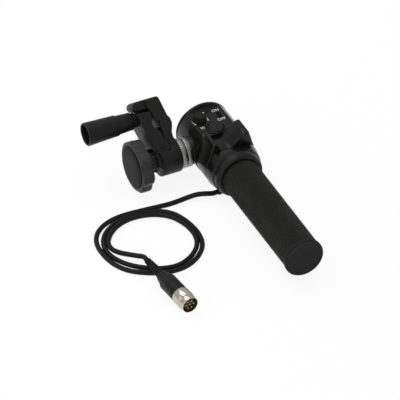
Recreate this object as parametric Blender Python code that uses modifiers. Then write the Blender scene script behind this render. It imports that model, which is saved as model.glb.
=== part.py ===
"""A hand-grip zoom demand with its bar clamp and control cable, lying on a table.

The grip runs along Y with its cap at the front, the clamp hangs on a swivel along X at the
left of the head, and the table is the plane Z = 0. Lengths are in metres.
"""
import math

import bmesh
import bpy
from mathutils import Vector

# Shared clearances
CLEARANCE = 0.0003
OVERRUN = 0.003
ROUND_SIDES = 36
KNOB_SIDES = 28
SMALL_SIDES = 14
POST_SIDES = 12
PIN_SIDES = 8
HEX_SIDES = 6
ARC_STEPS = 6
CURVE_STEPS = 8
SHARP_EDGE_DEG = 35.0
WELD_DISTANCE = 0.00001

# Head casing, a drum about the grip axis with a flat top
HEAD_RADIUS = 0.0242
HEAD_WALL = 0.0024
HEAD_FRONT_Y = -0.0125
HEAD_BACK_Y = 0.0230
HEAD_FRONT_WALL = 0.0030
PANEL_DROP = 0.0044
PANEL_THICKNESS = 0.0012
PANEL_SIDE_INSET = 0.0004
BACK_COVER_THICKNESS = 0.0028
BACK_COVER_CHAMFER = 0.0012
COVER_SPIGOT_DEPTH = 0.0020
COVER_SPIGOT_WALL = 0.0016
COVER_SCREW_COUNT = 3
COVER_SCREW_RADIUS = 0.0011
COVER_SCREW_HEAD_RADIUS = 0.0021
COVER_SCREW_HEAD_HEIGHT = 0.0011
COVER_SCREW_LENGTH = 0.0090
COVER_SCREW_INSET = 0.0022
COVER_SCREW_SPREAD_DEG = 65.0
COVER_POST_RADIUS = 0.0026
COVER_POST_LENGTH = 0.0110

# Rotary speed dial and its potentiometer
DIAL_X = -0.0088
DIAL_Y = 0.0117
DIAL_RADIUS = 0.00615
DIAL_TAPER = 0.00055
DIAL_HEIGHT = 0.0055
DIAL_POINTER_WIDTH = 0.0012
DIAL_POINTER_DEPTH = 0.0006
DIAL_SHAFT_RADIUS = 0.0020
DIAL_SHAFT_REACH = 0.0030
DIAL_POT_RADIUS = 0.0052
DIAL_POT_HEIGHT = 0.0060
DIAL_BUSH_RADIUS = 0.0034

# Slide switch
SWITCH_X = 0.0094
SWITCH_Y = 0.0108
SWITCH_TRAVEL = 0.0020
SWITCH_NUB_LENGTH = 0.0036
SWITCH_NUB_WIDTH = 0.0026
SWITCH_NUB_RISE = 0.0018
SWITCH_SLIDER_DEPTH = 0.0014
SWITCH_BODY_WIDTH = 0.0062
SWITCH_BODY_HEIGHT = 0.0048
SWITCH_BODY_END = 0.0016
SWITCH_BODY_FLOOR = 0.0016

# Push button, its bezel and its switch
BUTTON_X = -0.0008
BUTTON_Y = -0.0043
BUTTON_RADIUS = 0.0068
BUTTON_RISE = 0.0016
BUTTON_TRAVEL = 0.0010
BUTTON_CROWN = 0.0004
BEZEL_WIDTH = 0.0009
BEZEL_RISE = 0.0007
BUTTON_PLATE = 0.0012
BUTTON_STEM_RADIUS = 0.0015
BUTTON_SWITCH_SIZE = 0.0060
BUTTON_SWITCH_HEIGHT = 0.0035

# Circuit board that carries the controls
BOARD_SIDE_GAP = 0.0053
BOARD_LENGTH = 0.0270
BOARD_THICKNESS = 0.0016
BOARD_Y = 0.0055
BOARD_POST_RADIUS = 0.0020
BOARD_POST_COUNT = 4
BOARD_POST_X_SHARE = 0.29
BOARD_POST_Y_SHARE = 0.38
CHIP_LENGTH = 0.0090
CHIP_WIDTH = 0.0065
CHIP_HEIGHT = 0.0018

# Thumb rocker, a ring on a fixed journal with two raised horns
THUMB_RING_LENGTH = 0.0202
THUMB_RING_STEP = 0.0006
THUMB_RING_WALL = 0.0031
THUMB_VALLEY_DROP = 0.0016
THUMB_VALLEY_HALF_WIDTH = 0.0042
THUMB_HORN_RISE = 0.0098
THUMB_HORN_X = 0.0160
THUMB_HORN_TIP = 0.0022
THUMB_FLANK_ANGLE_DEG = 8.0
JOURNAL_WALL = 0.0030
THUMB_SWING_DEG = 20.0
DRIVE_PIN_RADIUS = 0.0012
DRIVE_PIN_INSET = 0.0018
DRIVE_PIN_Y = -0.0240
DRIVE_ARM_WIDTH = 0.0050
DRIVE_ARM_THICKNESS = 0.0026
DRIVE_HUB_RADIUS = 0.0042
POT_BORE_SHARE = 0.678
POT_LENGTH = 0.0090
POT_SHAFT_RADIUS = 0.0020
POT_BUSH_RADIUS = 0.0036
POT_BUSH_LENGTH = 0.0036
POT_FLANGE_THICKNESS = 0.0014
SPRING_WIRE_RADIUS = 0.0004
SPRING_TURNS = 2.0
SPRING_PITCH = 0.0010
SPRING_POINTS_PER_TURN = 12

# Front ring and collar between the thumb rocker and the grip
FRONT_RING_LENGTH = 0.0108
FRONT_RING_STEP = 0.0002
FRONT_RING_TAPER = 0.0019
FRONT_RING_FLAT_DROP = 0.0018
COLLAR_LENGTH = 0.0072
COLLAR_STEP = 0.0002
COLLAR_LIP = 0.0021
COLLAR_CURVE_STEPS = 4
COLLAR_WEB = 0.0040

# Grip: tube, rubber sleeve and flat end cap
GRIP_TUBE_FIT = 0.0006
GRIP_TUBE_WALL = 0.0016
GRIP_TUBE_REAR_Y = -0.0330
GRIP_SLEEVE_WALL = 0.0062
GRIP_SLEEVE_LENGTH = 0.1222
KNURL_COLUMNS = 23
KNURL_ROWS = 26
KNURL_HEIGHT = 0.00045
CAP_LIP = 0.0006
CAP_THICKNESS = 0.0030
CAP_CHAMFER = 0.0006
CAP_SPIGOT_LENGTH = 0.0100
CAP_SPIGOT_WALL = 0.0016
CAP_SCREW_RADIUS = 0.0016
CAP_SCREW_HEAD_RADIUS = 0.0030

# Swivel: head boss, two serrated rosettes, stud and star knob
BOSS_RADIUS = 0.0122
BOSS_RISE = 0.0009
BOSS_DEPTH = 0.0075
ROSETTE_RADIUS = 0.0132
ROSETTE_THICKNESS = 0.0050
ROSETTE_CHAMFER = 0.0004
STUD_RADIUS = 0.0035
STUD_KNOB_REACH = 0.0062
STUD_NUT_RADIUS = 0.0062
STUD_NUT_THICKNESS = 0.0040
HUB_WIDTH = 0.0186
HUB_RADIUS = 0.0146
KNOB_WASHER_THICKNESS = 0.0016
KNOB_WASHER_RADIUS = 0.0076
STAR_BOSS_RADIUS = 0.0082
STAR_BOSS_LENGTH = 0.0095
STAR_BOSS_RIBS = 10
STAR_BOSS_RIB_DEPTH = 0.0006
STAR_BOSS_POINTS_PER_RIB = 4
STAR_RADIUS = 0.0232
STAR_LOBES = 7
STAR_LOBE_DEPTH = 0.0024
STAR_THICKNESS = 0.0112
STAR_POINTS_PER_LOBE = 10
STAR_RIM_CHAMFER = 0.0012
STAR_CAP_RADIUS = 0.0190
STAR_CAP_RISE = 0.0016
STAR_CAP_RIM = 0.0004
STAR_CAP_STEPS = 5
STAR_INSERT_RADIUS = 0.0056

# Bar clamp, drawn upright and leaning back about the swivel
CLAMP_LEAN_DEG = 40.5
CLAMP_DEPTH = 0.0245
HINGE_INSET = 0.0040
HINGE_HEIGHT = 0.0098
HINGE_PIN_RADIUS = 0.0016
KNUCKLE_RADIUS = 0.0040
KNUCKLE_DEPTH = 0.0160
CHEEK_RADIUS = 0.0040
JAW_SLIT = 0.0010
JAW_ROOT_HEIGHT = 0.0090
JAW_LIP_HEIGHT = 0.0059
JAW_TIP_WIDTH = 0.0109
JAW_TIP_OVERHANG = 0.0041
BAR_GAP_OFFSET = 0.0022
BAR_GAP_HEIGHT = 0.0135
BAR_GAP_HALF_WIDTH = 0.0047
FIXED_JAW_OUTER_SHARES = (
    (0.027, 0.000), (0.032, 0.205), (0.124, 0.295), (0.124, 0.372), (0.032, 0.456),
    (-0.016, 0.528), (0.016, 0.603), (0.108, 0.662), (0.280, 0.970), (0.355, 1.000),
)
FIXED_JAW_GAP_SHARES = ((-0.25, 0.90), (0.25, 0.64), (0.51, 0.39))
MOVING_JAW_OUTER_SHARES = (
    (0.42, 0.118), (0.12, 0.302), (0.00, 0.557), (0.00, 0.969), (0.08, 1.000), (0.92, 0.984),
    (1.00, 0.937),
)
MOVING_JAW_GAP_SHARES = ((0.98, 1.00), (1.49, 0.61), (1.32, 0.37))
FINGER_REACH = 0.0016
FINGER_GAP = 0.0033
FINGER_HEIGHT = 0.0070
FINGER_DEPTH_SHARE = 0.70
JAW_OPENING_DEG = 16.0
JAW_SCREW_TRAVEL = 0.0090

# Clamp screw and its barrel knob
SCREW_RADIUS = 0.0030
SCREW_ABOVE_GAP = 0.0017
SCREW_REACH = 0.0072
SCREW_SOCKET_RADIUS = 0.0015
SCREW_HEAD_RADIUS = 0.0050
SCREW_HEAD_LENGTH = 0.0046
THRUST_WASHER_RADIUS = 0.0056
THRUST_WASHER_THICKNESS = 0.0030
BARREL_LENGTH = 0.0289
BARREL_END_RADIUS = 0.0103
BARREL_TAPER = 0.0012
BARREL_NECK_LENGTH = 0.0139
BARREL_NECK_STEP = 0.0007
BARREL_NECK_TAPER = 0.0007
BARREL_HOLLOW_DEPTH = 0.0130
BARREL_WALL = 0.0018
BARREL_RIM_CHAMFER = 0.0005

# Cable gland, cord and connector
CORD_RADIUS = 0.0018
CORD_LIFT = 0.0001
GLAND_X = -0.0120
GLAND_Y = -0.0385
GLAND_HEIGHT = 0.0042
GLAND_RADIUS = 0.0029
GLAND_LENGTH = 0.0075
GLAND_FLANGE = 0.0008
PLUG_TURN_DEG = 5.4
PLUG_BACK_X = -0.1120
PLUG_BACK_Y = -0.1010
BOOT_REAR_RADIUS = 0.0029
BOOT_FLARE = 0.0013
BOOT_LENGTH = 0.0240
BOOT_RIBS = 7
BOOT_RIB_DEPTH = 0.0005
BOOT_RIB_SHARE = 0.6
BOOT_RIB_SLOPE = 0.0002
NECK_LENGTH = 0.0080
NECK_STEP = 0.0010
SHELL_RADIUS = 0.0078
SHELL_LENGTH = 0.0215
SHELL_CHAMFER = 0.0012
SHELL_WALL = 0.0015
COUPLING_STEP = 0.0004
COUPLING_WALL = 0.0013
COUPLING_LENGTH = 0.0165
COUPLING_LIP = 0.0022
CONTACT_SIDE_GAP = 0.0011
CONTACT_RECESS = 0.0045
CONTACT_BODY_TAIL = 0.0080
PIN_COUNT = 7
PIN_RADIUS = 0.0006
PIN_LENGTH = 0.0075
PIN_PROUD = 0.0035
PIN_CIRCLE_RADIUS = 0.0036

# Route of the free cord on the table, from the gland round two and a half turns to the plug
CORD_ROUTE = (
    (-0.0310, -0.0366, 0.0027), (-0.0430, -0.0342, 0.0019),
    (-0.0600, -0.0324, 0.0019), (-0.0790, -0.0319, 0.0019), (-0.0980, -0.0322, 0.0019),
    (-0.1140, -0.0343, 0.0019), (-0.1270, -0.0405, 0.0019), (-0.1362, -0.0510, 0.0019),
    (-0.1402, -0.0640, 0.0019), (-0.1405, -0.0780, 0.0019), (-0.1377, -0.0920, 0.0019),
    (-0.1312, -0.1050, 0.0019), (-0.1205, -0.1147, 0.0019), (-0.1070, -0.1196, 0.0019),
    (-0.0930, -0.1204, 0.0019), (-0.0795, -0.1168, 0.0019), (-0.0680, -0.1090, 0.0019),
    (-0.0595, -0.0980, 0.0019), (-0.0550, -0.0845, 0.0019), (-0.0548, -0.0700, 0.0019),
    (-0.0592, -0.0570, 0.0019), (-0.0672, -0.0468, 0.0019), (-0.0780, -0.0400, 0.0019),
    (-0.0905, -0.0374, 0.0019), (-0.1035, -0.0378, 0.0019), (-0.1155, -0.0418, 0.0019),
    (-0.1257, -0.0490, 0.0019), (-0.1325, -0.0590, 0.0019), (-0.1352, -0.0710, 0.0019),
    (-0.1345, -0.0835, 0.0019), (-0.1303, -0.0955, 0.0019), (-0.1228, -0.1055, 0.0019),
    (-0.1125, -0.1124, 0.0019), (-0.1005, -0.1152, 0.0019), (-0.0880, -0.1140, 0.0019),
    (-0.0770, -0.1085, 0.0019), (-0.0680, -0.1000, 0.0019), (-0.0620, -0.0895, 0.0019),
    (-0.0600, -0.0775, 0.0019), (-0.0622, -0.0655, 0.0019), (-0.0685, -0.0548, 0.0019),
    (-0.0785, -0.0468, 0.0019), (-0.0905, -0.0430, 0.0019), (-0.1030, -0.0436, 0.0019),
    (-0.1150, -0.0490, 0.0019), (-0.1240, -0.0575, 0.0020), (-0.1285, -0.0680, 0.0028),
    (-0.1275, -0.0780, 0.0045), (-0.1225, -0.0850, 0.0064), (-0.1165, -0.0903, 0.0079),
)
CORD_POINT_SPACING = 0.0105
CORD_LEAD = 0.0045

# Material colours: name, base colour, roughness, metallic
BLACK_GLOSS = ("black_gloss_casing", (0.012, 0.012, 0.013), 0.22, 0.0)
BLACK_SATIN = ("black_satin_plastic", (0.02, 0.02, 0.021), 0.45, 0.0)
BLACK_RUBBER = ("black_rubber", (0.018, 0.018, 0.018), 0.75, 0.0)
CLAMP_PAINT = ("grey_black_paint", (0.035, 0.036, 0.036), 0.5, 0.2)
BRIGHT_STEEL = ("bright_steel", (0.80, 0.79, 0.76), 0.22, 1.0)
DARK_STEEL = ("dark_steel", (0.30, 0.30, 0.31), 0.4, 1.0)
BRASS = ("brass", (0.72, 0.52, 0.24), 0.35, 1.0)
ALUMINIUM = ("aluminium", (0.70, 0.70, 0.71), 0.4, 1.0)
BOARD_GREEN = ("board_laminate", (0.03, 0.16, 0.07), 0.5, 0.0)
GREY_PLASTIC = ("grey_plastic", (0.12, 0.12, 0.12), 0.55, 0.0)
NICKEL = ("nickel", (0.74, 0.71, 0.66), 0.25, 1.0)

# Rotations that lay a piece's own Z along a world direction
ALONG_X = (0.0, math.pi / 2, 0.0)
ALONG_Y = (-math.pi / 2, 0.0, 0.0)
UPRIGHT = (0.0, 0.0, 0.0)
OUTLINE_UPRIGHT = (math.pi / 2, 0.0, 0.0)

# Sizes and places that follow from the ones above
PANEL_TOP_HEIGHT = HEAD_RADIUS - PANEL_DROP
COVER_SCREW_CIRCLE_RADIUS = HEAD_RADIUS - HEAD_WALL - COVER_SCREW_INSET
DIAL_TOP_RADIUS = DIAL_RADIUS - DIAL_TAPER
BOARD_WIDTH = 2 * (HEAD_RADIUS - HEAD_WALL - BOARD_SIDE_GAP)
THUMB_RING_RADIUS = HEAD_RADIUS - THUMB_RING_STEP
THUMB_VALLEY_HEIGHT = PANEL_TOP_HEIGHT - THUMB_VALLEY_DROP
THUMB_HORN_HEIGHT = PANEL_TOP_HEIGHT + THUMB_HORN_RISE
JOURNAL_RADIUS = THUMB_VALLEY_HEIGHT - THUMB_RING_WALL - CLEARANCE
POT_RADIUS = (JOURNAL_RADIUS - JOURNAL_WALL) * POT_BORE_SHARE
GRIP_TUBE_RADIUS = JOURNAL_RADIUS - JOURNAL_WALL - GRIP_TUBE_FIT
GRIP_RADIUS = GRIP_TUBE_RADIUS + GRIP_SLEEVE_WALL
FRONT_RING_REAR_RADIUS = HEAD_RADIUS - FRONT_RING_STEP
FRONT_RING_FRONT_RADIUS = FRONT_RING_REAR_RADIUS - FRONT_RING_TAPER
FRONT_RING_FLAT_HEIGHT = PANEL_TOP_HEIGHT - FRONT_RING_FLAT_DROP
COLLAR_REAR_RADIUS = FRONT_RING_FRONT_RADIUS - COLLAR_STEP
COLLAR_FRONT_RADIUS = GRIP_RADIUS + COLLAR_LIP
CAP_RADIUS = GRIP_RADIUS + CAP_LIP
BARREL_STEP_RADIUS = BARREL_END_RADIUS - BARREL_TAPER
BARREL_NECK_RADIUS = BARREL_STEP_RADIUS - BARREL_NECK_STEP
BARREL_NOSE_RADIUS = BARREL_NECK_RADIUS - BARREL_NECK_TAPER
BARREL_HOLLOW_RADIUS = BARREL_END_RADIUS - BARREL_WALL
BOOT_FRONT_RADIUS = BOOT_REAR_RADIUS + BOOT_FLARE
NECK_REAR_RADIUS = BOOT_FRONT_RADIUS + NECK_STEP
COUPLING_RADIUS = SHELL_RADIUS + COUPLING_STEP
CONTACT_BODY_RADIUS = COUPLING_RADIUS - COUPLING_WALL - CONTACT_SIDE_GAP
BAR_GAP_BOTTOM_HEIGHT = HINGE_HEIGHT + KNUCKLE_RADIUS + JAW_ROOT_HEIGHT
BAR_GAP_TOP_HEIGHT = BAR_GAP_BOTTOM_HEIGHT + BAR_GAP_HEIGHT
SCREW_HEIGHT = BAR_GAP_TOP_HEIGHT + SCREW_ABOVE_GAP
JAW_TOP_HEIGHT = BAR_GAP_TOP_HEIGHT + JAW_LIP_HEIGHT
FINGER_BOTTOM_HEIGHT = JAW_TOP_HEIGHT + FINGER_GAP
FIXED_JAW_TOP_HEIGHT = FINGER_BOTTOM_HEIGHT + FINGER_HEIGHT
PANEL_SEAT_HEIGHT = PANEL_TOP_HEIGHT - PANEL_THICKNESS
THUMB_REAR_Y = HEAD_FRONT_Y - CLEARANCE
THUMB_FRONT_Y = THUMB_REAR_Y - THUMB_RING_LENGTH
FRONT_RING_REAR_Y = THUMB_FRONT_Y - CLEARANCE
FRONT_RING_FRONT_Y = FRONT_RING_REAR_Y - FRONT_RING_LENGTH
COLLAR_REAR_Y = FRONT_RING_FRONT_Y - CLEARANCE
COLLAR_FRONT_Y = COLLAR_REAR_Y - COLLAR_LENGTH
SLEEVE_REAR_Y = COLLAR_REAR_Y - COLLAR_WEB - CLEARANCE
SLEEVE_FRONT_Y = SLEEVE_REAR_Y - GRIP_SLEEVE_LENGTH
CAP_REAR_Y = SLEEVE_FRONT_Y - CLEARANCE
CAP_FRONT_Y = CAP_REAR_Y - CAP_THICKNESS
BOSS_FACE_X = -HEAD_RADIUS - BOSS_RISE
HEAD_ROSETTE_X = BOSS_FACE_X - CLEARANCE - ROSETTE_THICKNESS / 2
CLAMP_ROSETTE_X = HEAD_ROSETTE_X - ROSETTE_THICKNESS - CLEARANCE
HUB_RIGHT_X = CLAMP_ROSETTE_X - ROSETTE_THICKNESS / 2 - CLEARANCE
HUB_LEFT_X = HUB_RIGHT_X - HUB_WIDTH
WASHER_LEFT_X = HUB_LEFT_X - CLEARANCE - KNOB_WASHER_THICKNESS
STAR_RIGHT_X = WASHER_LEFT_X - CLEARANCE
STAR_BOSS_LEFT_X = STAR_RIGHT_X - STAR_BOSS_LENGTH
STAR_LEFT_X = STAR_BOSS_LEFT_X - STAR_THICKNESS
STUD_INNER_X = BOSS_FACE_X + BOSS_DEPTH + STUD_NUT_THICKNESS + 2 * CLEARANCE
STUD_END_X = STAR_BOSS_LEFT_X - STUD_KNOB_REACH
HINGE_X = HUB_LEFT_X + HINGE_INSET
BAR_GAP_X = HINGE_X + BAR_GAP_OFFSET
JAW_TIP_RIGHT_X = BAR_GAP_X - JAW_TIP_OVERHANG
JAW_TIP_LEFT_X = JAW_TIP_RIGHT_X - JAW_TIP_WIDTH
FINGER_LEFT_X = JAW_TIP_LEFT_X - FINGER_REACH
SCREW_END_X = BAR_GAP_X + SCREW_REACH
THRUST_RIGHT_X = JAW_TIP_LEFT_X - CLEARANCE
THRUST_LEFT_X = THRUST_RIGHT_X - THRUST_WASHER_THICKNESS
NECK_RIGHT_X = THRUST_LEFT_X - CLEARANCE
NECK_LEFT_X = NECK_RIGHT_X - BARREL_NECK_LENGTH
BARREL_LEFT_X = NECK_LEFT_X - BARREL_LENGTH

# The row's origin lies on the table, under the middle of the part without its cord
CLAMP_LEAN = math.radians(CLAMP_LEAN_DEG)
CLAMP_TOP_Y = (FIXED_JAW_TOP_HEIGHT * math.sin(CLAMP_LEAN)
               + CLAMP_DEPTH / 2 * math.cos(CLAMP_LEAN))
CENTRE_X = -(BARREL_LEFT_X + HEAD_RADIUS) / 2
CENTRE_Y = -(CAP_FRONT_Y + CLAMP_TOP_Y) / 2
CENTRE_Z = HEAD_RADIUS


def clear_scene():
    """Remove every object that the scene starts with."""
    for obj in list(bpy.data.objects):
        bpy.data.objects.remove(obj, do_unlink=True)


def new_collection(name):
    """Add a collection to the scene."""
    collection = bpy.data.collections.new(name)
    bpy.context.scene.collection.children.link(collection)
    return collection


def material_for(finish):
    """Give the Principled material of a finish, made once."""
    name, colour, roughness, metallic = finish
    material = bpy.data.materials.get(name)
    if material is None:
        material = bpy.data.materials.new(name)
        material.use_nodes = True
        shader = material.node_tree.nodes["Principled BSDF"]
        shader.inputs["Base Color"].default_value = (*colour, 1.0)
        shader.inputs["Roughness"].default_value = roughness
        shader.inputs["Metallic"].default_value = metallic
        material.diffuse_color = (*colour, 1.0)
    return material


def empty(name, parent, location, rotation=UPRIGHT):
    """Add an empty that carries a group of pieces."""
    holder = bpy.data.objects.new(name, None)
    PARTS.objects.link(holder)
    holder.parent = parent
    holder.location = location
    holder.rotation_euler = rotation
    return holder


def place(obj, parent, location, rotation, finish):
    """Parent a piece, set it in place and give it its material."""
    obj.parent = parent
    obj.location = location
    obj.rotation_euler = rotation
    if finish is None:
        CUTTERS.objects.link(obj)
        obj.hide_render = True
        obj.display_type = "WIRE"
        return obj
    PARTS.objects.link(obj)
    obj.data.materials.append(material_for(finish))
    obj.data.shade_smooth()
    obj.data.set_sharp_from_angle(angle=math.radians(SHARP_EDGE_DEG))
    return obj


def mesh_object(name, shape):
    """Turn a bmesh into an object."""
    mesh = bpy.data.meshes.new(name)
    shape.to_mesh(mesh)
    shape.free()
    return bpy.data.objects.new(name, mesh)


def box(name, size, parent, location, finish=None, rotation=UPRIGHT):
    """Make a box of the given X, Y and Z size about its centre."""
    shape = bmesh.new()
    bmesh.ops.create_cube(shape, size=1.0)
    bmesh.ops.scale(shape, vec=size, verts=shape.verts)
    return place(mesh_object(name, shape), parent, location, rotation, finish)


def cylinder(name, radius, length, parent, location, rotation=UPRIGHT, finish=None,
             sides=SMALL_SIDES, far_radius=None):
    """Make a cylinder, or a cone, about its centre along its own Z."""
    shape = bmesh.new()
    top = radius if far_radius is None else far_radius
    bmesh.ops.create_cone(shape, cap_ends=True, segments=sides, radius1=radius,
                          radius2=top, depth=length)
    return place(mesh_object(name, shape), parent, location, rotation, finish)


def turned(name, profile, parent, location, rotation=UPRIGHT, finish=None, closed=True,
           sides=ROUND_SIDES):
    """Turn a profile of (radius, height) points, outer side top to bottom, about Z."""
    mesh = bpy.data.meshes.new(name)
    count = len(profile)
    edges = [(i, i + 1) for i in range(count - 1)]
    if closed:
        edges.append((count - 1, 0))
    mesh.from_pydata([(radius, 0.0, height) for radius, height in profile], edges, [])
    obj = bpy.data.objects.new(name, mesh)
    screw = obj.modifiers.new("turn", "SCREW")
    screw.steps = sides
    screw.render_steps = sides
    screw.use_merge_vertices = True
    screw.merge_threshold = WELD_DISTANCE
    screw.use_smooth_shade = True
    return place(obj, parent, location, rotation, finish)


def tube_profile(top, bottom, outer, inner, chamfer=0.0):
    """Give the closed profile of a plain ring, with its outer edges chamfered."""
    if chamfer == 0.0:
        return [(outer, top), (outer, bottom), (inner, bottom), (inner, top)]
    return [(outer - chamfer, top), (outer, top - chamfer), (outer, bottom + chamfer),
            (outer - chamfer, bottom), (inner, bottom), (inner, top)]


def from_curve(name, curve, parent, location, rotation, finish):
    """Turn a filled or bevelled curve into a welded mesh object."""
    guide = bpy.data.objects.new(name + "_guide", curve)
    bpy.context.scene.collection.objects.link(guide)
    graph = bpy.context.evaluated_depsgraph_get()
    mesh = bpy.data.meshes.new_from_object(guide.evaluated_get(graph))
    bpy.data.objects.remove(guide)
    shape = bmesh.new()
    shape.from_mesh(mesh)
    bmesh.ops.remove_doubles(shape, verts=shape.verts, dist=WELD_DISTANCE)
    shape.to_mesh(mesh)
    shape.free()
    mesh.name = name
    return place(bpy.data.objects.new(name, mesh), parent, location, rotation, finish)


def extruded(name, outlines, depth, parent, location, rotation=OUTLINE_UPRIGHT, finish=None):
    """Extrude a flat outline, and any holes in it, to a depth about its middle."""
    curve = bpy.data.curves.new(name, "CURVE")
    curve.dimensions = "2D"
    curve.fill_mode = "BOTH"
    curve.extrude = depth / 2
    for outline in outlines:
        spline = curve.splines.new("POLY")
        spline.points.add(len(outline) - 1)
        for point, (x, y) in zip(spline.points, outline):
            point.co = (x, y, 0.0, 1.0)
        spline.use_cyclic_u = True
    return from_curve(name, curve, parent, location, rotation, finish)


def wire(name, points, radius, parent, location, finish):
    """Lay a round wire with filled caps along points."""
    curve = bpy.data.curves.new(name, "CURVE")
    curve.dimensions = "3D"
    curve.bevel_depth = radius
    curve.bevel_resolution = 2
    curve.use_fill_caps = True
    spline = curve.splines.new("POLY")
    spline.points.add(len(points) - 1)
    for point, place_xyz in zip(spline.points, points):
        point.co = (*place_xyz, 1.0)
    obj = bpy.data.objects.new(name, curve)
    PARTS.objects.link(obj)
    obj.parent = parent
    obj.location = location
    curve.materials.append(material_for(finish))
    return obj


def boolean(obj, tool, operation):
    """Cut a tool from a piece, join it to the piece or keep what both share."""
    modifier = obj.modifiers.new(tool.name, "BOOLEAN")
    modifier.operation = operation
    modifier.object = tool
    return obj


def cut(obj, *tools):
    """Cut tools from a piece."""
    for tool in tools:
        boolean(obj, tool, "DIFFERENCE")
    return obj


def join(obj, *tools):
    """Unite a piece with the shapes that belong to it."""
    for tool in tools:
        boolean(obj, tool, "UNION")
    return obj


def arc(centre, radius, start_deg, end_deg, steps):
    """Give points on an arc about a centre, both ends included."""
    angles = [math.radians(start_deg + (end_deg - start_deg) * i / steps)
              for i in range(steps + 1)]
    return [(centre[0] + radius * math.cos(a), centre[1] + radius * math.sin(a))
            for a in angles]


def flat_topped_circle(radius, flat_height):
    """Give a circle's outline cut flat at a height above its centre."""
    edge = math.degrees(math.asin(flat_height / radius))
    return arc((0.0, 0.0), radius, edge, -180.0 - edge, KNOB_SIDES)


def circle(radius, sides, centre=(0.0, 0.0)):
    """Give a full circle's outline."""
    return arc(centre, radius, 0.0, 360.0 * (sides - 1) / sides, sides - 1)


def mid(low, high):
    """Give the middle of two stations."""
    return (low + high) / 2


def make_casing(root):
    """Head drum with its flat seat, cavity, swivel boss and openings."""
    length = HEAD_BACK_Y - HEAD_FRONT_Y
    casing = extruded("head_casing", [flat_topped_circle(HEAD_RADIUS, PANEL_SEAT_HEIGHT)],
                      length, root, (0.0, mid(HEAD_FRONT_Y, HEAD_BACK_Y), 0.0),
                      finish=BLACK_GLOSS)
    boss = cylinder("boss", BOSS_RADIUS, BOSS_DEPTH, root,
                    (BOSS_FACE_X + BOSS_DEPTH / 2, 0.0, 0.0), ALONG_X, sides=ROUND_SIDES)
    cavity_front = HEAD_FRONT_Y + HEAD_FRONT_WALL
    cavity_back = HEAD_BACK_Y + OVERRUN
    cavity = extruded("cavity", [flat_topped_circle(HEAD_RADIUS - HEAD_WALL,
                                                    PANEL_SEAT_HEIGHT - HEAD_WALL)],
                      cavity_back - cavity_front, root,
                      (0.0, mid(cavity_front, cavity_back), 0.0))
    boss_bore = cylinder("boss_bore", STUD_RADIUS + CLEARANCE, HEAD_RADIUS, root,
                         (BOSS_FACE_X, 0.0, 0.0), ALONG_X)
    cable_bore = cylinder("cable_bore", JOURNAL_RADIUS - JOURNAL_WALL,
                          HEAD_FRONT_WALL + 2 * OVERRUN, root,
                          (0.0, HEAD_FRONT_Y + HEAD_FRONT_WALL / 2, 0.0), ALONG_Y,
                          sides=ROUND_SIDES)
    cut(casing, cavity)
    join(casing, boss)
    for index, (x, z) in enumerate(cover_screw_places()):
        post = cylinder("cover_post_" + str(index), COVER_POST_RADIUS, COVER_POST_LENGTH, root,
                        (x, post_y(), z), ALONG_Y)
        join(casing, post)
        cut(casing, cylinder("post_bore_" + str(index), COVER_SCREW_RADIUS + CLEARANCE,
                             COVER_SCREW_LENGTH, root,
                             (x, post_y() + COVER_POST_LENGTH / 2, z), ALONG_Y))
    cut(casing, boss_bore, cable_bore)
    for tool in panel_openings(root, "seat", PANEL_SEAT_HEIGHT - HEAD_WALL / 2, HEAD_WALL):
        cut(casing, tool)
    return casing


def cover_screw_places():
    """Give the X and Z of each back cover screw."""
    places = []
    for index in range(COVER_SCREW_COUNT):
        turn = (index - (COVER_SCREW_COUNT - 1) / 2) * COVER_SCREW_SPREAD_DEG
        angle = math.radians(-90.0 + turn)
        places.append((COVER_SCREW_CIRCLE_RADIUS * math.cos(angle),
                       COVER_SCREW_CIRCLE_RADIUS * math.sin(angle)))
    return places


def post_y():
    """Give the middle of the cover posts along Y."""
    return HEAD_BACK_Y - COVER_SPIGOT_DEPTH - CLEARANCE - COVER_POST_LENGTH / 2


def panel_openings(root, label, height, thickness):
    """Cutters for the dial bush, switch slot and button well through a wall."""
    depth = thickness + 2 * CLEARANCE
    dial = cylinder(label + "_dial_hole", DIAL_BUSH_RADIUS + CLEARANCE, depth, root,
                    (DIAL_X, DIAL_Y, height))
    slot = box(label + "_switch_slot",
               (SWITCH_NUB_WIDTH + 2 * CLEARANCE,
                SWITCH_NUB_LENGTH + SWITCH_TRAVEL + 2 * CLEARANCE, depth),
               root, (SWITCH_X, SWITCH_Y, height))
    well = cylinder(label + "_button_hole", BUTTON_RADIUS + CLEARANCE, depth, root,
                    (BUTTON_X, BUTTON_Y, height), sides=ROUND_SIDES)
    return dial, slot, well


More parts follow.
